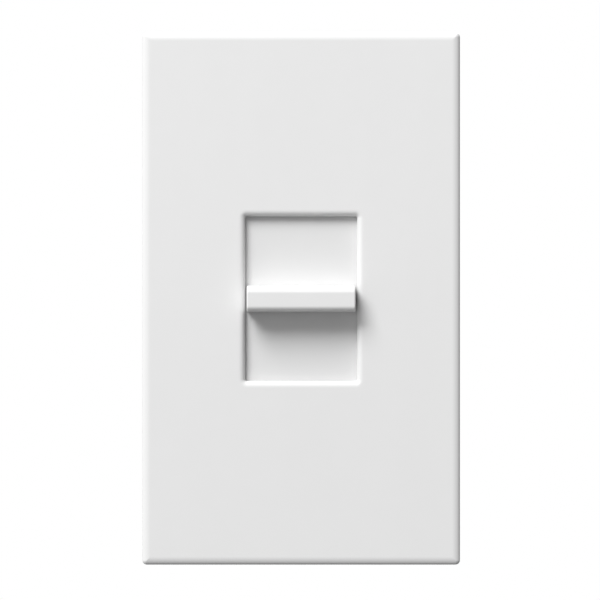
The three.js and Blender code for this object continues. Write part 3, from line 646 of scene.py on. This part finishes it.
# The finishes, with their colours and roughness where they take any; a metal's colours are dark, bright
# and stained
FINISHES = {
    "cover_plastic": (moulded_white, WHITE, 0.46),
    # A darker copy of the cover's white plastic for the shutter, which paints the recess's shade into
    # its colour
    "shutter_plastic_painted_shade": (moulded_white, SHUTTER_SHADED_WHITE, 0.5),
    "knob_plastic": (moulded_white, WHITE, 0.38),
    "inner_plastic": (moulded_white, INNER_WHITE, 0.5),
    "housing_plastic": (moulded_black,),
    "yoke_aluminium": (rolled_aluminium,),
    "zinc_steel": (plated, (0.50, 0.51, 0.53), (0.74, 0.75, 0.77), (0.44, 0.42, 0.38), 0.34),
    "brass": (plated, (0.62, 0.43, 0.16), (0.83, 0.64, 0.31), (0.4, 0.25, 0.09), 0.3),
    "contact_bronze": (plated, (0.56, 0.29, 0.15), (0.78, 0.46, 0.27), (0.33, 0.17, 0.1), 0.32),
    "ground_green": (dyed_green,),
    "fibre": (pressed_fibre,),
    "board_phenolic": (phenolic_board,),
    "carbon_track": (carbon_film,),
    "thermal_pad": (silicone_pad,),
    "ferrite": (coated_ferrite,),
    "enamelled_wire": (enamelled_copper,),
    "film_capacitor": (dipped_case, (0.62, 0.4, 0.04), (0.82, 0.6, 0.1)),
    "component_body": (dipped_case, (0.3, 0.13, 0.06), (0.5, 0.25, 0.13)),
}
looks = {name: finish(Shader(name), *settings) for name, (finish, *settings) in FINISHES.items()}


# ---- cover


PLATE_LOW, PLATE_HIGH = span("faceplate")
PLATE_WIDTH = PLATE_HIGH.x - PLATE_LOW.x
PLATE_HEIGHT = PLATE_HIGH.z - PLATE_LOW.z
PLATE_FRONT = PLATE_LOW.y
PLATE_BACK = PLATE_HIGH.y
PLATE_CORNER = 1.0
PLATE_EDGE = 0.9
PLATE_CROWN = 1.8
PLATE_WALL = 2.0
PLATE_FRONT_WALL = 1.7
PLATE_INSIDE = PLATE_FRONT + PLATE_FRONT_WALL
INSIDE_CORNER = 0.6

# The window's width, height and corner at its foot, how much wider each side is at the face, and how
# round its convex rim is: 1 is an ellipse, and less is squarer
WINDOW = (24.6, 36.2, 0.4)
WINDOW_SLOPE = 1.5
RIM_ROUNDNESS = 0.8

# Ribs inside the cover's walls: their length, how deep they root, and their places along the walls
RIB_LENGTH = 7.0
RIB_ROOT = 0.5
RIB_PLACES_Z = (-32, 0, 32)
RIB_PLACES_X = (-18, 18)


def window_levels(foot):
    """Levels down the window's convex wall, from the face to its foot."""
    levels = []
    for rise, run in quarter(10):
        out = WINDOW_SLOPE * (1 - run**RIM_ROUNDNESS)
        down = foot * (1 - (1 - rise) ** RIM_ROUNDNESS)
        levels.append((-out, PLATE_FRONT + down))
    return levels


def plate_rings():
    """The cover's rings: its back rim, its side, the face, the window's wall and the inside."""
    plate = rectangle(PLATE_WIDTH, PLATE_HEIGHT, PLATE_CORNER)
    inside = rectangle(PLATE_WIDTH - 2 * PLATE_WALL, PLATE_HEIGHT - 2 * PLATE_WALL, INSIDE_CORNER)
    window = rectangle(*WINDOW)
    rim, edge, fillet = 0.15, 0.2, 0.4
    path = [
        (inside, side_to_face(-rim, PLATE_BACK, -rim)),
        (plate, face_to_side(edge, PLATE_BACK, -edge)),
        (plate, side_to_face(PLATE_CROWN, PLATE_FRONT, PLATE_EDGE, 10)),
        (window, window_levels(PLATE_FRONT_WALL - edge)),
        (window, side_to_face(-edge, PLATE_INSIDE, -edge)),
        (inside, face_to_side(fillet, PLATE_INSIDE, fillet)),
    ]
    return rings_along(path)


def grip_ribs():
    """Short ribs inside the cover's walls that hold it on the adapter."""
    depth = (PLATE_INSIDE - RIB_ROOT, PLATE_BACK - 1.0)
    wall_x = PLATE_WIDTH / 2 - PLATE_WALL
    wall_z = PLATE_HEIGHT / 2 - PLATE_WALL
    thickness = wall_x - span("plate_adapter")[1].x - PLAY
    half = RIB_LENGTH / 2
    ribs = []
    for side in SIDES:
        x = sorted((side * (wall_x - thickness), side * (wall_x + RIB_ROOT)))
        ribs += [box(x, depth, (z - half, z + half), 0.2) for z in RIB_PLACES_Z]
        z = sorted((side * (wall_z - thickness), side * (wall_z + RIB_ROOT)))
        ribs += [box((x - half, x + half), depth, z, 0.2) for x in RIB_PLACES_X]
    return ribs


def make_cover():
    """The push-fit cover with its window and ribs."""
    plate = raw_object("faceplate_shell", stack(plate_rings(), closed=True))
    carve(plate, grip_ribs(), "UNION")
    piece(plate, "faceplate")


# ---- slider


KNOB_TOP_EDGE = 1.7
KNOB_LOW_EDGE = 1.25
KNOB_END_EDGE = 0.35
KNOB_BACK_EDGE = 0.25
STEM_SIDE = 4.4
SHUTTER_CORNER = 1.5


def knob_fin(back):
    """The fin: its section in Y and Z, drawn along X, with rounded ends and front edges."""
    low, high = span("slider_knob")
    corners = [(low.y, low.z, KNOB_LOW_EDGE), (back, low.z, KNOB_BACK_EDGE)]
    corners += [(back, high.z, KNOB_BACK_EDGE), (low.y, high.z, KNOB_TOP_EDGE)]
    bm = sheet(outline(corners, 10), [], rounded(high.x, low.x, KNOB_END_EDGE, 5))
    return facing(bm, (0, 0, 0), quarter_turn("Z"))


def knob_stem(front):
    """The stem behind the fin, with the socket that takes the slide's lever."""
    lever_low, lever_high = span("pot_lever")
    stem = rectangle(STEM_SIDE, STEM_SIDE, 0.3)
    width = lever_high.x - lever_low.x + 2 * PLAY
    height = lever_high.z - lever_low.z + 2 * PLAY
    socket = rectangle(width, height, 0.1)
    back = span("slider_knob")[1].y
    path = [
        (stem, [(0, front)]),
        (stem, side_to_face(0.2, back, -0.2)),
        (socket, face_to_side(-0.1, back, -0.1)),
        (socket, [(0, lever_low.y - PLAY)]),
    ]
    return stack(rings_along(path))


def make_slider():
    """The knob with its stem, and the panel that closes the window behind it."""
    low, high = span("dust_shutter")
    back = low.y - 0.1
    fin = raw_object("slider_fin", knob_fin(back))
    carve(fin, [knob_stem(back - 1.0)], "UNION")
    piece(fin, "slider_knob")
    hole = rectangle(STEM_SIDE + 2 * PLAY, STEM_SIDE + 2 * PLAY, 0.1)
    panel = rectangle(high.x - low.x, high.z - low.z, SHUTTER_CORNER)
    shutter = raw_object("dust_shutter_panel", sheet(panel, [hole], rounded(high.y, low.y, 0.15)))
    # The shutter takes the darker copy of the white plastic: painted shade for the recess it sits in
    piece(shutter, "dust_shutter", look="shutter_plastic_painted_shade")


# ---- screws


THREAD_STEPS = 8
THREAD_DEPTH = 0.42
SLOT_WIDTH = 0.8
TIP_LENGTH = 0.6
TIP_RADIUS = 0.55


def thread(radius, start, end, pitch):
    """Rings of a screw thread from y = start to y = end, which fades out at both ends."""
    depth = THREAD_DEPTH * pitch
    count = round((end - start) / pitch * THREAD_STEPS)
    rings = []
    for k in range(count + 1):
        y = start + (end - start) * k / count
        rise = min(1.0, (y - start) / pitch, (end - y) / pitch)
        loop = []
        for i in range(CIRCLE_STEPS):
            turn = 2 * math.pi * i / CIRCLE_STEPS
            crest = 0.5 + 0.5 * math.cos(2 * math.pi * y / pitch - turn)
            reach = radius - depth * (1 - rise * crest)
            loop.append(Vector((reach * math.cos(turn), reach * math.sin(turn))))
        rings.append((loop, y))
    return rings


def pan_head(radius, height):
    """A domed head from its crown at y = 0, as (radius, y) points."""
    flat, dome, foot = 0.3, 0.72 * height, 0.88 * height
    crown = [(radius * (flat + (1 - flat) * run), dome * rise) for rise, run in quarter(8)]
    return crown + [(radius, foot), (radius - 0.12, height)]


def flat_head(radius, height):
    """A countersunk head from its flat top at y = 0, as (radius, y) points."""
    edge, rim, neck = 0.08, 0.2, 0.62 * radius
    return [(0.3 * radius, 0), (radius - edge, 0), (radius, edge), (radius, rim), (neck, height)]


def cheese_head(radius, height):
    """A tall cylindrical head with a rounded upper edge, from its flat top at y = 0."""
    edge, foot = 0.4, 0.15
    crown = [(radius - edge * (1 - run), edge * rise) for rise, run in quarter(5)]
    return [(0.3 * radius, 0), *crown, (radius, height - foot), (radius - foot, height)]


def make_screw(node, direction, head, height, radius, slot, threaded, pitch=0.8):
    """A slotted screw in a node's place, its tip along direction and its last part threaded."""
    low, high = span(node)
    along = main_axis(direction)
    length = (high - low)[along]
    across = max((high - low)[axis] for axis in range(3) if axis != along)
    core = radius - THREAD_DEPTH * pitch
    start = max(height, length - threaded)
    profile = head(across / 2, height)
    if start > height:
        profile += [(radius, height), (radius, start - 0.2)]
    rings = [(circle(r)(), y) for r, y in profile]
    rings += thread(radius, start, length - core * TIP_LENGTH, pitch)
    rings += [(circle(core * TIP_RADIUS)(), length)]
    screw = raw_object(node + "_fine", stack(rings))
    reach = across / 2 + 1
    carve(screw, [box((-reach, reach), (-1, slot), (-SLOT_WIDTH / 2, SLOT_WIDTH / 2))])
    placed(screw, node, direction)
    piece(screw, node, sharp_above=62)


def make_screws():
    """Every screw, by its head, radius, slot depth and threaded length."""
    mounting = dict(head=pan_head, height=1.6, radius=1.7, slot=0.8, threaded=17)
    adapter = dict(head=flat_head, height=1.0, radius=1.6, slot=0.6, threaded=5)
    housing = dict(head=pan_head, height=1.6, radius=1.3, slot=0.8, threaded=9, pitch=0.7)
    triac = dict(head=pan_head, height=1.5, radius=1.35, slot=0.75, threaded=3, pitch=0.5)
    terminal = dict(head=cheese_head, height=2.4, radius=1.9, slot=1.1)
    for end in ("top", "bottom"):
        make_screw(f"mounting_screw_{end}", BACK, **mounting)
        make_screw(f"adapter_screw_{end}", BACK, **adapter)
    for number in (1, 2, 3, 4):
        make_screw(f"housing_screw_{number}", FRONT, **housing)
    make_screw("triac_screw", FRONT, **triac)
    for name in ("line", "load"):
        make_screw(f"{name}_screw", LEFT, **terminal, threaded=6.6)
    make_screw("ground_screw", UP, **terminal, threaded=4)


# ---- housing


HOUSE_LOW, HOUSE_HIGH = span("back_housing")
HOUSE_WALL = 1.8
HOUSE_CORNER = 2.5
FLANGE = 1.5
FLANGE_OVER = (2.0, 1.6)
BOSS_RADIUS = 2.8
BOSS_FRONT = 0.4
POST_RADIUS = 1.4
SMALL_HOLE = 1.6
POCKET_RADIUS = 2.7
TERMINAL_OPENING = 9.2

# Grooves: how far above and below the middle they lie, and how far out they clear the terminals
GROOVE_PLACES = (11, 16, 21, 26)
GROOVE_CLEAR = 20
GROOVE_WIDTH = 1.4
GROOVE_DEPTH = 0.5

# Recesses in the back: width, height, corner radius and place in X and Z
LABEL = (30, 32, 1.5, 0, 8)
LABEL_DEPTH = 0.4
GAUGE = (16, 3, 1.4, 0, -19)
GAUGE_DEPTH = 0.8


def housing_cup():
    """The cup: up from its floor inside, over the flange, and down the outside to its rounded back."""
    width = HOUSE_HIGH.x - HOUSE_LOW.x
    height = HOUSE_HIGH.z - HOUSE_LOW.z
    cup_width = width - FLANGE_OVER[0]
    cup_height = height - FLANGE_OVER[1]
    flange = rectangle(width, height, HOUSE_CORNER)
    outer = rectangle(cup_width, cup_height, HOUSE_CORNER)
    walls = 2 * HOUSE_WALL
    inner = rectangle(cup_width - walls, cup_height - walls, HOUSE_CORNER - HOUSE_WALL)
    front, back = HOUSE_LOW.y, HOUSE_HIGH.y
    under = front + FLANGE
    path = [
        (inner, face_to_side(0.5, back - HOUSE_WALL, -0.5, 4)),
        (inner, side_to_face(-0.15, front, 0.15)),
        (flange, face_to_side(0.2, front, 0.2)),
        (flange, side_to_face(0.2, under, -0.2)),
        (outer, face_to_side(-0.3, under, 0.3)),
        (outer, side_to_face(1.2, back, -1.2, 8)),
    ]
    return stack(rings_along(path))


def boss_places():
    """Where the four housing screws stand."""
    return [middle(f"housing_screw_{number}") for number in (1, 2, 3, 4)]


def housing_inside():
    """Bosses for the screws, and the posts that the circuit board lies on."""
    root = HOUSE_HIGH.y - HOUSE_WALL + 0.1
    low, high = span("circuit_board")
    solids = [rod(BOSS_RADIUS, (BOSS_FRONT, root), place.x, place.z) for place in boss_places()]
    for x in (low.x + 3, high.x - 2):
        solids += [rod(POST_RADIUS, (high.y + 0.1, root), x, z) for z in (low.z + 2, high.z - 2)]
    return solids


def grip_grooves():
    """Shallow grooves in the housing's sides, clear of the terminals on the right."""
    wall = (HOUSE_HIGH.x - HOUSE_LOW.x - FLANGE_OVER[0]) / 2
    depth = (6, HOUSE_HIGH.y - 5)
    half = GROOVE_WIDTH / 2
    grooves = []
    for z in GROOVE_PLACES:
        for side in SIDES if z > GROOVE_CLEAR else (-1,):
            x = sorted((side * (wall - GROOVE_DEPTH), side * (wall + 1)))
            grooves += [box(x, depth, (end * z - half, end * z + half), 0.3) for end in SIDES]
    return grooves


def housing_openings():
    """Screw holes and their pockets, the terminals' openings, and the recesses in the back."""
    back = HOUSE_HIGH.y
    cuts = []
    for place in boss_places():
        cuts.append(rod(SMALL_HOLE, (-1, back + 1), place.x, place.z))
        cuts.append(rod(POCKET_RADIUS, (back - HOUSE_WALL, back + 1), place.x, place.z))
    wall = (HOUSE_HIGH.x - 2 * HOUSE_WALL, HOUSE_HIGH.x + 1)
    across = (-TERMINAL_OPENING / 2, TERMINAL_OPENING / 2)
    for name in ("line", "load"):
        place = middle(f"{name}_clamp")
        opening = box(across, wall, across, 0.5)
        cuts.append(facing(opening, (0, place.y, place.z), quarter_turn("Z", -1)))
    for recess, depth in ((LABEL, LABEL_DEPTH), (GAUGE, GAUGE_DEPTH)):
        cuts.append(sheet(rectangle(*recess), [], square(back + 1, back - depth)))
    return cuts


def make_housing():
    """The moulded cup with its bosses, posts, grooves and openings."""
    cup = raw_object("housing_cup", housing_cup())
    carve(cup, housing_inside(), "UNION")
    carve(cup, grip_grooves() + housing_openings())
    piece(cup, "back_housing", edge=0.12)


# ---- yoke, frame and adapter


MOUNTING_Z = middle("mounting_screw_top").z
ADAPTER_SCREW_Z = middle("adapter_screw_top").z

# The strap: how far out its ears, middle, relief and scores end, and its holes, with slots as width,
# height and corner and the rest as radii
EAR_X = 14
ROOT_Z = 36
RELIEF_Z = 38
RELIEF_DEPTH = 0.2
SCORE_X = 24
SCORE_HALF = 0.4
SCORE_Z = 37
SCORE_DEPTH = 0.5
MOUNTING_SLOT = (7.6, 4.2, 2)
STEM_SLOT = (6, 37, 1.5)
CLEAR_HOLE = 1.9
TRIAC_HOLE = 1.65
ANCHOR_HOLE = 1.3
ANCHOR_X = 9.5
TERMINAL_HOLE = 2.2
GROUND_TAB_Z = (-37.8, -36.5)

STAKE_X = 11
STAKE_Z = 31
STAKE_RADIUS = 1.2
STAKE_STEPS = 34
RAIL_WIDTH = 1.9

# The adapter: its rim, web and window, and its cuts for heads, prying and countersinks
ADAPTER_RIM = 1.8
WEB_FRONT = -3.1
WEB_BACK = -1.6
ADAPTER_WINDOW = (50, 88, 3)
HEAD_HOLE = 3.5
PRY_NOTCH = 12
SINK_RADIUS = 2.8


def yoke_outline():
    """The strap's outline: a wide middle with an ear above and below."""
    low, high = span("yoke")
    tip, nook, corner = 3, 0.8, 2
    half = [(-EAR_X, low.z, tip), (EAR_X, low.z, tip), (EAR_X, -ROOT_Z, nook)]
    half += [(high.x, -ROOT_Z, corner), (high.x, ROOT_Z, corner), (EAR_X, ROOT_Z, nook)]
    return outline(half + [(-x, -z, radius) for x, z, radius in half])


def yoke_holes():
    """The stem's slot, the screw slots and every round hole in the strap."""
    trimmer = middle("trimmer_shaft")
    triac = middle("triac_screw")
    holes = [rectangle(*STEM_SLOT)]
    holes += [circle(CLEAR_HOLE, trimmer.x, trimmer.z), circle(TRIAC_HOLE, triac.x, triac.z)]
    holes += [circle(SMALL_HOLE, place.x, place.z) for place in boss_places()]
    for end in SIDES:
        holes.append(rectangle(*MOUNTING_SLOT, 0, end * MOUNTING_Z))
        holes.append(circle(CLEAR_HOLE, 0, end * ADAPTER_SCREW_Z))
        for side in SIDES:
            holes.append(circle(ANCHOR_HOLE, side * ANCHOR_X, end * ADAPTER_SCREW_Z))
            holes.append(circle(STAKE_RADIUS + PLAY, side * STAKE_X, end * STAKE_Z))
    return holes


def terminal_hole(position, axis):
    """A cutter for the hole that a terminal's screw passes through."""
    return facing(rod(TERMINAL_HOLE, (-4, 4)), position, quarter_turn(axis))


def make_yoke():
    """The strap: its middle clear of the wall, with scored fins and the ground terminal's tab."""
    low, high = span("yoke")
    strap = raw_object("yoke_strap", sheet(yoke_outline(), yoke_holes(), rounded(0, low.y, 0.14)))
    relief = (-RELIEF_Z, RELIEF_Z)
    cuts = [box((low.x - 1, high.x + 1), (-RELIEF_DEPTH, 1), relief)]
    score = (-SCORE_Z, SCORE_Z)
    for side in SIDES:
        across = (side * SCORE_X - SCORE_HALF, side * SCORE_X + SCORE_HALF)
        cuts.append(box(across, (low.y - 1, low.y + SCORE_DEPTH), score))
    carve(strap, cuts)
    clamp_low, clamp_high = span("ground_clamp")
    tab = box((clamp_low.x + 0.1, clamp_high.x), (low.y + 0.5, high.y), GROUND_TAB_Z, 0.15)
    carve(strap, [tab], "UNION")
    place = middle("ground_screw")
    carve(strap, [terminal_hole((place.x, place.y, GROUND_TAB_Z[0]), "X")])
    piece(strap, "yoke")


def stake(x, z, front, back):
    """A round stake with a domed end."""
    shape = circle(STAKE_RADIUS, x, z, STAKE_STEPS)
    return stack(rings_along([(shape, [(0, front)]), (shape, side_to_face(0.5, back, -0.5, 4))]))


def make_slider_frame():
    """The frame that the shutter slides in, staked to the strap."""
    low, high = span("slider_frame")
    shutter = span("dust_shutter")[1]
    back = span("yoke")[0].y - 0.1
    front = shutter.y + PLAY
    inside = shutter.x + PLAY
    base = rectangle(high.x - low.x, high.z - low.z, 2)
    plate = sheet(base, [rectangle(*STEM_SLOT)], rounded(back, front, 0.2))
    body = raw_object("slider_frame_body", plate)
    solids = []
    for side in SIDES:
        x = sorted((side * inside, side * (inside + RAIL_WIDTH)))
        solids.append(box(x, (low.y, front + 0.3), (low.z + 1, high.z - 1), 0.2))
        solids += [stake(side * STAKE_X, end * STAKE_Z, back - 0.5, high.y) for end in SIDES]
    carve(body, solids, "UNION")
    piece(body, "slider_frame", edge=0.06)


def adapter_rings():
    """The adapter's section, run round: a deep rim outside, and a thin web up to the window."""
    low, high = span("plate_adapter")
    width, height, front = high.x - low.x, high.z - low.z, low.y
    outer = rectangle(width, height, 2)
    inside = rectangle(width - 2 * ADAPTER_RIM, height - 2 * ADAPTER_RIM, 1)
    window = rectangle(*ADAPTER_WINDOW)
    path = [
        (outer, face_to_side(0.15, 0, -0.15)),
        (outer, side_to_face(0.5, front, 0.5, 4)),
        (inside, face_to_side(-0.2, front, 0.2)),
        (inside, side_to_face(0.3, WEB_FRONT, -0.3)),
        (window, face_to_side(-0.15, WEB_FRONT, 0.15)),
        (window, side_to_face(-0.15, WEB_BACK, -0.15)),
        (inside, face_to_side(0.3, WEB_BACK, 0.3)),
        (inside, side_to_face(-0.15, 0, -0.15)),
    ]
    return rings_along(path)


def make_adapter():
    """The adapter, cut for the mounting screws' heads, for prying and for its own countersunk screws."""
    low, high = span("plate_adapter")
    adapter = raw_object("adapter_ring", stack(adapter_rings(), closed=True))
    front = low.y - 1
    flare, foot = WEB_FRONT + 0.2, WEB_FRONT + 1.3
    sink = [(SINK_RADIUS, WEB_FRONT - 1), (SINK_RADIUS, flare), (CLEAR_HOLE, foot), (CLEAR_HOLE, 1)]
    cuts = []
    for end in SIDES:
        notch = sorted((end * (high.z - 3), end * (high.z + 1)))
        cuts.append(rod(HEAD_HOLE, (front, 1), 0, end * MOUNTING_Z))
        cuts.append(box((-PRY_NOTCH / 2, PRY_NOTCH / 2), (front, WEB_FRONT), notch, 0.3))
        cuts.append(stack([(circle(r, 0, end * ADAPTER_SCREW_Z)(), y) for r, y in sink]))
    carve(adapter, cuts)
    piece(adapter, "plate_adapter", edge=0.08)


def make_retainers():
    """The fibre washers that keep the loose mounting screws in the strap."""
    for end in ("top", "bottom"):
        node = f"screw_retainer_{end}"
        low, high = span(node)
        place = middle(node)
        washer = rectangle(high.x - low.x, high.z - low.z, 2, place.x, place.z)
        bm = sheet(washer, [circle(CLEAR_HOLE, place.x, place.z)], rounded(high.y, low.y, 0.1))
        piece(raw_object(node + "_fine", bm), node)


# ---- terminals


CLAMP_SIDE = 8
CLAMP_CORNER = 0.7
CLAMP_GROOVES = (-3.2, -2.4, 2.4, 3.2)
GROOVE_HALF = 0.25
FOLD_PLACE = (3.1, 3.7)
STAMPED = 1.4
FOOT_THICKNESS = 1.2


def make_clamp(name, direction):
    """A pressure plate: gripping grooves on the wire's side, and a folded edge outside."""
    node = f"{name}_clamp"
    half = CLAMP_SIDE / 2
    shape = rectangle(CLAMP_SIDE, CLAMP_SIDE, CLAMP_CORNER)
    clamp = raw_object(node + "_fine", sheet(shape, [circle(TERMINAL_HOLE)], rounded(STAMPED, 0, 0.14)))
    carve(clamp, [box((-half, half), (STAMPED - 0.1, STAMPED + 0.3), FOLD_PLACE, 0.12)], "UNION")
    depth, along = (-1, GROOVE_HALF), (-half - 1, half + 1)
    carve(clamp, [box((x - GROOVE_HALF, x + GROOVE_HALF), depth, along) for x in CLAMP_GROOVES])
    placed(clamp, node, direction)
    piece(clamp, node)


def make_terminal_plate(name):
    """A stamped brass angle: its upright is tapped for the screw, and its foot lies on the board."""
    node = f"{name}_plate"
    low, high = span(node)
    face, foot = high.x - STAMPED, high.y - FOOT_THICKNESS
    tip, nook, top, bend = 0.1, 0.4, 0.3, 1.6
    corners = [(low.x, foot, tip), (face, foot, nook), (face, low.y, top)]
    corners += [(high.x, low.y, top), (high.x, high.y, bend), (low.x, high.y, tip)]
    bm = sheet(outline(corners), [], rounded(-low.z, -high.z, 0.12))
    plate = raw_object(node + "_fine", facing(bm, (0, 0, 0), quarter_turn("X", -1)))
    place = middle(f"{name}_clamp")
    carve(plate, [terminal_hole((high.x, place.y, place.z), "Z")])
    piece(plate, node, edge=0.05)


def make_terminals():
    """The pressure plates, and the brass angles of the line and load terminals."""
    for name, direction in (("line", RIGHT), ("load", RIGHT), ("ground", DOWN)):
        make_clamp(name, direction)
    for name in ("line", "load"):
        make_terminal_plate(name)


# ---- choke and capacitors


CHOKE_INNER = 4.0
RING_STEPS = 32
RING_POINTS = 64
WIRE_RADIUS = 0.42
WIRE_GAP = 0.3
WIRE_TURNS = 12
TURN_STEPS = 36
WIRE_SIDES = 12
WOUND_SHARE = 0.9


def choke_section():
    """The choke's middle circle and the half sizes of its oval section, from the core's box."""
    low, high = span("choke_core")
    outer = (high.x - low.x) / 2
    return (CHOKE_INNER + outer) / 2, (outer - CHOKE_INNER) / 2, (high.y - low.y) / 2


def make_choke_core():
    """The ring that the wire is wound on."""
    place = middle("choke_core")
    radius, radial, axial = choke_section()
    rings = []
    for k in range(RING_STEPS):
        a = 2 * math.pi * k / RING_STEPS
        loop = circle(radius - radial * math.cos(a), place.x, place.z, RING_POINTS)()
        rings.append((loop, place.y + axial * math.sin(a)))
    piece(raw_object("choke_ring", stack(rings, closed=True)), "choke_core")


def winding_place(share):
    """A point a share of the way along the wire's middle, and the way out from the core there."""
    radius, radial, axial = choke_section()
    clearance = WIRE_RADIUS + WIRE_GAP
    around = Matrix.Rotation(-2 * math.pi * WOUND_SHARE * share, 3, "Y")
    turn = 2 * math.pi * WIRE_TURNS * share
    out = Vector((math.cos(turn), math.sin(turn), 0))
    at = Vector((radius + (radial + clearance) * out.x, (axial + clearance) * out.y, 0))
    return around @ at, around @ out


def make_winding():
    """One round wire wound about the ring."""
    place = middle("choke_core")
    count = WIRE_TURNS * TURN_STEPS
    bm = bmesh.new()
    rings = []
    for k in range(count + 1):
        at, out = winding_place(k / count)
        ahead = winding_place((k + 0.1) / count)[0]
        along = (ahead - at).normalized()
        side = along.cross(out).normalized()
        up = side.cross(along)
        turns = [2 * math.pi * i / WIRE_SIDES for i in range(WIRE_SIDES)]
        points = [place + at + WIRE_RADIUS * (math.cos(a) * up + math.sin(a) * side) for a in turns]
        rings.append([bm.verts.new(point) for point in points])
    piece(raw_object("choke_wire", skin(bm, rings)), "choke_winding", sharp_above=60)


def make_capacitors():
    """The potted box and the small dipped capacitor, with softly rounded cases."""
    for node, corner, edge in (("filter_capacitor", 1.2, 0.8), ("timing_capacitor", 1.4, 0.9)):
        low, high = span(node)
        place = middle(node)
        case = rectangle(high.x - low.x, high.z - low.z, corner, place.x, place.z)
        piece(raw_object(node + "_case", sheet(case, [], rounded(high.y, low.y, edge, 6))), node)


# ---- carried-over nodes


NODE_EDGE = 0.12


def finish_nodes():
    """Gives every node that is still shown its material and softer corners."""
    for node, obj in frame["nodes"].items():
        if obj.hide_render:
            continue
        obj.data.materials.clear()
        obj.data.materials.append(looks[SLOTS[node]])
        soften(obj, NODE_EDGE)


# ---- surroundings


def make_camera():
    """Straight in front of the cover, as far back as the view's width asks."""
    data = bpy.data.cameras.new("camera")
    data.lens = LENS
    data.sensor_width = SENSOR
    data.clip_start = 0.01
    data.clip_end = 20.0
    camera = in_scene("camera", data)
    distance = VIEW_WIDTH * LENS / SENSOR
    camera.location = Vector((VIEW_CENTRE[0], PLATE_FRONT - distance, VIEW_CENTRE[1])) * MM
    camera.rotation_euler = (math.pi / 2, 0, 0)
    bpy.context.scene.camera = camera


def make_sky():
    """Surroundings that look white, mirror evenly, and light the object most from the upper left."""
    world = bpy.data.worlds.new("surroundings")
    world.use_nodes = True
    net = Network(world.node_tree)
    way = net.put("ShaderNodeTexCoord").outputs["Generated"]
    inputs = {0: way, 1: SKY_BRIGHT_SIDE.normalized()}
    slant = net.put("ShaderNodeVectorMath", inputs, operation="DOT_PRODUCT").outputs["Value"]
    light = net.between(slant, SKY_LIGHT * (1 - SKY_TILT), SKY_LIGHT * (1 + SKY_TILT), -1.0, 1.0)
    path = net.put("ShaderNodeLightPath").outputs
    mirrored = net.between(path["Is Glossy Ray"], light, SKY_MIRRORED, 0.0, 1.0)
    strength = net.between(path["Is Camera Ray"], mirrored, SKY_SEEN, 0.0, 1.0)
    sky = net.put("ShaderNodeBackground", {"Color": (1, 1, 1), "Strength": strength})
    net.put("ShaderNodeOutputWorld", {"Surface": sky.outputs[0]})
    bpy.context.scene.world = world


def make_light(name, direction, distance, size, power):
    """A soft light that shines on the middle of the cover."""
    data = bpy.data.lights.new(name, "AREA")
    data.shape = "RECTANGLE"
    data.size, data.size_y = size
    data.energy = power
    light = in_scene(name, data)
    way = direction.normalized()
    light.location = way * distance
    light.rotation_euler = way.to_track_quat("Z", "Y").to_euler()
    light.visible_camera = False


def make_floor():
    """A round pale floor well below the object."""
    bm = bmesh.new()
    bmesh.ops.create_circle(bm, cap_ends=True, segments=96, radius=FLOOR_RADIUS)
    mesh = bpy.data.meshes.new("floor")
    bm.to_mesh(mesh)
    bm.free()
    floor = in_scene("floor", mesh)
    floor.location.z = -FLOOR_DROP
    floor.data.materials.append(floor_finish(Shader("floor")))
    floor.visible_diffuse = False
    floor.visible_glossy = False


make_camera()
make_sky()
make_light("key", KEY_DIRECTION, LIGHT_DISTANCE, KEY_SIZE, KEY_POWER)
make_light("back", BACK_DIRECTION, LIGHT_DISTANCE, BACK_SIZE, BACK_POWER)
make_floor()
make_cover()
make_slider()
make_screws()
make_housing()
make_yoke()
make_slider_frame()
make_adapter()
make_retainers()
make_terminals()
make_choke_core()
make_winding()
make_capacitors()
finish_nodes()
bpy.context.scene.view_settings.view_transform = "Standard"
